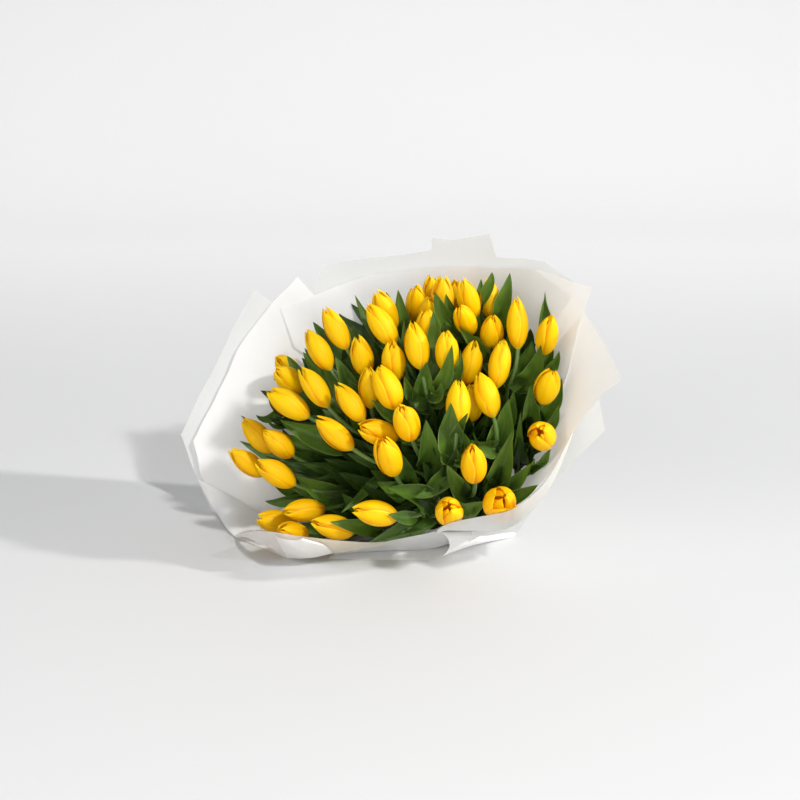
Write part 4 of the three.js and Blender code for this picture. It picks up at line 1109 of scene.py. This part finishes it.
def foldStops(seed, low, high):
    draw = makeRandom(seed)
    clock, stops, sense = -180.0, [], 1
    while clock < 176:
        stops.append((clock, sense * (0.35 + 0.65 * draw())))
        sense = -sense
        clock += low + (high - low) * draw()
    stops.append((180.0, stops[0][1]))
    return np.array(stops)


broadFolds = foldStops(paperFolds["seed"], 9, 22)
fineFolds = foldStops(paperFolds["seed"] + 5, 4, 9)


def foldDepth(clock, height):
    turned = np.degrees(np.arctan2(np.sin(clock), np.cos(clock)))
    broad = np.interp(turned, broadFolds[:, 0], broadFolds[:, 1])
    fine = np.interp(turned, fineFolds[:, 0], fineFolds[:, 1])
    rise = np.clip(height / 330, 0, 1.3)
    gather = np.exp(-(np.maximum(np.abs(height) - 6, 0) / 55) ** 2)
    gather = paperFolds["gather"] * gather * smoothStep((np.abs(height) - 5) / 25)
    return paperFolds["depth"] * broad * rise ** 1.3 + (gather + 0.5 * rise) * fine


def sheetRim(layer, flare, rim):
    # rim spots every few picture units, and which of them are corners
    places, corners = [], []
    for (fromX, fromY), (toX, toY) in zip(rim, rim[1:]):
        count = max(2, int(math.hypot(toX - fromX, toY - fromY) / 5))
        for step in range(count):
            share = step / count
            corners.append(step == 0)
            places.append((fromX + (toX - fromX) * share, fromY + (toY - fromY) * share))
    corners = np.array(corners + [True])
    spots = [sightOnWrap(x, y, layer, flare) for x, y in places + [rim[-1]]]
    clocks = np.unwrap([float(spot[0]) for spot in spots])
    heights = np.array([float(spot[1]) for spot in spots])
    if clocks[-1] < clocks[0]:
        clocks, heights, corners = clocks[::-1], heights[::-1], corners[::-1]
    for place in range(1, len(clocks)):
        clocks[place] = max(clocks[place], clocks[place - 1] + 0.02 * degree)
    return clocks, heights, corners


def sheetGrid(layer, flare, rim):
    clocks, heights, corners = sheetRim(layer, flare, rim)
    even = np.arange(clocks[0], clocks[-1], paperFolds["step"] * degree)
    clock = np.unique(np.concatenate([even, clocks[corners]]))
    rimHeight = np.interp(clock, clocks, heights)
    last = paperFolds["tieRows"][-1]
    shortened = np.minimum(1, rimHeight / (last * 1.3))
    rows = [level * (shortened if level > wrap["waistBand"] else np.ones_like(clock))
            for level in paperFolds["tieRows"]]
    top = last * shortened
    shares = list(np.linspace(0, 1, paperFolds["rows"])[1:-1]) + [0.997, 1]
    rows += [top + (rimHeight - top) * share for share in shares]
    lift = (wrap["outerLayer"] - layer) * wrap["layerStep"] + 0.15
    grid = []
    for heightRow in rows:
        radius = wrapRadius(clock, heightRow, layer, flare) - wrap["thickness"] / 2
        radius = radius + foldDepth(clock, heightRow)
        if layer == 0:
            # the back sheet's ends lie in against the flowers
            toEnd = np.minimum(clock - clock[0], clock[-1] - clock) / degree
            radius = radius - 4 * np.exp(-(toEnd / 5) ** 2) * smoothStep(heightRow / 120)
        points = []
        for angle, height, distance in zip(clock, heightRow, radius):
            centre, up = spine(height)
            fall = -math.sin(angle) * up[2]
            if fall > wrap["leastFall"]:
                distance = min(distance, (centre[2] - lift) / fall)
            points.append(centre + across * distance * math.cos(angle) + up * distance * math.sin(angle))
        grid.append(points)
    return np.array(grid)


for name, layer, flare, rim in sheets:
    grid = sheetGrid(layer, flare, rim)
    outer = name.startswith("outer")
    height = np.linspace(0, 1, len(grid))[:, None]
    # painted reflection: the inner sheets tinted with the flowers' yellow, most strongly low down near the
    # flowers
    beige = 0 if outer else paperFolds["flowerBounce"] * (1 - smoothStep((height - 0.45) / 0.45))
    grids = Grids()
    grids.add(grid, (float(outer), beige, 0))
    grids.piece(f"wrap_{name}", paper, f"paper_sheet_{name}", "paper")
print("paper made")


# The wrap's front: its lower edge turns over on the floor, and its upper one stands up before the blooms.
# Each spot is a place in the picture and, but for ply and lip, how far in front of the tie it lies

frontFold = {
    "mouth": [(328, 559, 195), (380, 560.3, 195), (414, 561, 195), (430, 560.3, 195), (442, 556.5, 195),
              (448, 550, 195), (449.5, 544, 195), (446.5, 537, 195), (438, 531.7, 195), (420, 534.8, 195),
              (385, 541.8, 195), (334, 552.7, 195)],
    "end": [(332, 556.5, 178), (385, 553.2, 169), (420, 551, 163), (448, 546, 151), (478, 542.5, 142),
            (500, 540, 132), (513, 536.8, 124), (513, 532.6, 124), (484, 532.5, 136), (432, 548.5, 162),
            (385, 552.4, 168), (334, 556, 178)],
    "flapOuter": [(275.3, 535.6, 222), (281, 547, 208), (286.4, 558, 190)],
    "flapInner": [(302.4, 538.2, 246), (323, 544.3, 236), (332.7, 552.3, 200)],
    "apron": [(210, 557.5, 183), (230, 561.5, 191), (260, 566.6, 200), (285, 569, 206), (330, 567, 204),
              (380, 566, 202), (430, 565.5, 201), (455, 561, 193)],
    "apronBack": [(236, 541, 150), (255, 546, 150), (275, 550, 160), (290, 553, 170), (330, 556, 178),
                  (380, 556, 178), (420, 556, 178), (446, 552, 172)],
    "plyTop": [(198, 479), (215, 488), (240, 501), (268, 520)],
    "plyLow": [(204, 492), (216, 512), (234, 535), (257, 531.5)],
    "lipFrom": [(437, 529), (450, 527), (465, 524), (480, 520), (494, 515), (508, 510), (521, 504),
                (532, 494), (543, 483), (552, 471), (563, 451), (573, 432)],
    "hem": 1.6,
}


def wrapPoint(x, y):
    clock, height, radius = sightOnWrap(x, y, 1, 0)
    return tie + along * height + (across * math.cos(clock) + upright * math.sin(clock)) * radius


def smoothLine(points, count):
    points = np.asarray(points)
    places = np.arange(len(points))
    stops = np.linspace(0, len(points) - 1, count)
    return np.stack([throughStops(list(zip(places, points[:, axis])), stops) for axis in range(3)], axis=-1)


def frontLine(spots, count):
    return smoothLine([pointAtDepth(*spot) for spot in spots], count)


def sweep(fromLine, toLine, rows):
    share = np.concatenate([np.linspace(0, 0.97, rows - 2), [0.994, 1]])[:, None, None]
    return fromLine + (toLine - fromLine) * share


def makeFrontFold():
    grids = Grids()
    roll = sweep(frontLine(frontFold["end"], 70), frontLine(frontFold["mouth"], 70), 26)
    roll[..., 2] = np.maximum(roll[..., 2], 0.7)
    grids.add(roll, (0, 0, 0))
    apron = sweep(frontLine(frontFold["apronBack"], 60), frontLine(frontFold["apron"], 60), 10)
    apron[..., 2] = 0.5
    grids.add(apron, (1, 0, 0))
    grids.piece("wrap_front_fold", paper, "paper_sheet_outer_right", "paper")


def makeFrontLip():
    grids = Grids()
    flap = sweep(frontLine(frontFold["flapOuter"], 24), frontLine(frontFold["flapInner"], 24), 18)
    flap[..., 1] -= 9 * np.sin(np.linspace(0, 1, 18) * math.pi)[:, None]
    grids.add(flap, (0, 0, 0))
    # the band at the left, yellower and clearer towards its right end
    band = [row for row in frontEdge if row[0] <= 390]
    low = frontLine([(x, lowY + 1, lowDepth) for x, y, depth, lowY, lowDepth in band], 50)
    edge = frontLine([row[:3] for row in band], 50)
    beige = smoothStep(np.linspace(-1.1, 1.9, 50))
    grids.add(sweep(low, edge, 16), (0.6 - 0.4 * beige, 0.75 * beige, 0))
    # the lip at the right: from the wrap out to the lower line, up to the edge and over it
    right = [row for row in frontEdge if row[0] >= 437]
    inside = smoothLine([wrapPoint(*spot) for spot in frontFold["lipFrom"]], 80)
    low = frontLine([(x, lowY, lowDepth) for x, y, depth, lowY, lowDepth in right], 80)
    edge = frontLine([row[:3] for row in right], 80)
    hem = edge + np.array([0, frontFold["hem"], -frontFold["hem"] * 0.5])
    lip = np.concatenate([sweep(inside, low, 12)[:-2], sweep(low, edge, 20)[1:], hem[None]])
    for step in range(3):
        lip[8:12] = (lip[7:11] + 2 * lip[8:12] + lip[9:13]) / 4
    grids.add(lip, (smoothStep(np.linspace(-0.6, 2.4, 80)), 0, 0))
    # a ply inside the left wall
    plyTop, plyLow = (smoothLine([wrapPoint(*spot) for spot in frontFold[name]], 40)
                      for name in ("plyTop", "plyLow"))
    ply = sweep(plyLow, plyTop, 16)
    rise = np.concatenate([np.linspace(1, 3.5, 15), [3.5]])[:, None, None]
    grids.add(ply + unit(eye - ply) * rise, (0, 0, 0))
    grids.piece("wrap_front_lip", paper, "paper_sheet_front", "paper")


makeFrontFold()
makeFrontLip()
print("front fold made")


# Twine: three turns of three twisted strands round the waist

twine = {
    "turns": 3,
    "radius": 1.7,
    "lift": 0.7,              # of its inner side over the paper
    "strands": 3,
    "strandRadius": 0.56,     # shares of the twine's radius
    "strandOffset": 0.48,
    "lay": 9.0,               # length of one twist
    "steps": 420,
    "sides": 6,
}


def makeTwine():
    grids = Grids()
    inner = wrap["waistRadius"] + wrap["outerLayer"] * wrap["layerStep"] + twine["lift"]
    middle = inner + twine["radius"]
    share = np.linspace(0, 1, twine["steps"])
    angle = share * twine["turns"] * 2 * math.pi
    shift = (share - 0.5) * 2 * twine["radius"] * (twine["turns"] - 1)
    outward = across * np.cos(angle)[:, None] + upright * np.sin(angle)[:, None]
    line = tie + outward * middle + along * shift[:, None]
    radii = np.full(len(share), twine["radius"] * twine["strandRadius"])
    for strand in range(twine["strands"]):
        turned = angle * middle / twine["lay"] * 2 * math.pi + strand * 2 * math.pi / twine["strands"]
        offset = outward * np.cos(turned)[:, None] + along * np.sin(turned)[:, None]
        path = line + offset * twine["radius"] * twine["strandOffset"]
        grids.add(tubeGrid(path, radii, twine["sides"]), (0, 0, 0), closed=True)
    grids.piece("twine_turns", jute, "waist_cord", "cord")


makeTwine()
print("twine made")


# Floor, light and camera

stageLook = {
    "floor": (0.635, 0.638, 0.644),
    "wall": (0.915, 0.918, 0.925),
    "wallFrom": 2.6,          # metres behind the bunch, where the floor starts to turn up
    "wallRound": 1.4,
    "sky": 0.37,
    "sun": 2.1,
    "sunColour": (1.0, 0.985, 0.955),
    "sunSize": 3.0,           # degrees
    "sunFrom": 10,            # degrees to the front of straight right
    "sunHeight": 23,
    # three soft panels: watts, side, place and what they look at
    "panels": [(20, 2.5, (-1.5, -2.3, 1.4), (0.1, 0.0, 0.15)),
               (112, 0.3, (2.1, -2.3, 2.85), (-0.1, -0.1, 0.12)),
               (16, 0.9, (0.3, -2.6, 0.5), (0.0, 0.0, 0.05))],
}


def floorMaterial():
    shader = Shader("studioFloor")
    place = shader.node("TexCoord", output="Object")
    back = shader.split("SeparateXYZ", place)[1]
    # painted light: the floor is coloured darker than the wall it turns up into, making up for the lamps
    # lighting the floor more strongly
    toWall = (back.between(0.1, 2.4) + shader.noise(place, 3.0) * 0.06).limited()
    tint = shader.mix(toWall, stageLook["floor"], stageLook["wall"])
    return shader.surface(shader.node("BsdfPrincipled", None, {
        "Base Color": tint, "Roughness": 0.75, "Specular IOR Level": 0.2}))


def makeFloor():
    start, bend = stageLook["wallFrom"], stageLook["wallRound"]
    profile = [(-6, 0), (start, 0)]
    for turned in np.linspace(0.1, math.pi / 2, 12):
        profile.append((start + bend * math.sin(turned), bend - bend * math.cos(turned)))
    profile += [(start + bend, 6)]
    points = [(x, y, z) for y, z in profile for x in (-9, 9)]
    faces = [(2 * i, 2 * i + 1, 2 * i + 3, 2 * i + 2) for i in range(len(profile) - 1)]
    linkObject("studio_floor", meshOf("studio_floor", points, faces, floorMaterial()))


def makeLamp(name, light, towards):
    lamp = linkObject(name, light)
    lamp.rotation_mode = "QUATERNION"
    lamp.rotation_quaternion = towards.to_track_quat("Z", "Y")
    return lamp


def makeLights():
    world = bpy.data.worlds.new("studio")
    world.use_nodes = True
    back = world.node_tree.nodes["Background"]
    back.inputs[0].default_value = (1.0, 1.0, 1.0, 1)
    back.inputs[1].default_value = stageLook["sky"]
    bpy.context.scene.world = world
    sun = bpy.data.lights.new("window", "SUN")
    sun.energy = stageLook["sun"]
    sun.angle = stageLook["sunSize"] * degree
    sun.color = stageLook["sunColour"]
    side, rise = stageLook["sunFrom"] * degree, stageLook["sunHeight"] * degree
    level = math.cos(rise)
    makeLamp("window", sun, Vector((math.cos(side) * level, -math.sin(side) * level, math.sin(rise))))
    for number, (power, size, place, aim) in enumerate(stageLook["panels"]):
        panel = bpy.data.lights.new(f"panel_{number + 1}", "AREA")
        panel.energy = power
        panel.size = size
        makeLamp(panel.name, panel, Vector(place) - Vector(aim)).location = place


def makeCamera():
    lens = bpy.data.cameras.new("camera")
    lens.sensor_width = 36
    lens.lens = lens.sensor_width * sightScale / (2 * sightMiddle)
    lens.clip_end = 100
    camera = linkObject("camera", lens)
    camera.location = Vector((eye / 1000 + placeOnFloor).tolist())
    camera.rotation_euler = ((90 - eyeTilt) * degree, 0, 0)
    bpy.context.scene.camera = camera


makeFloor()
makeLights()
makeCamera()
bpy.context.scene.view_settings.view_transform = "Standard"
bpy.context.view_layer.update()
print("scene ready")
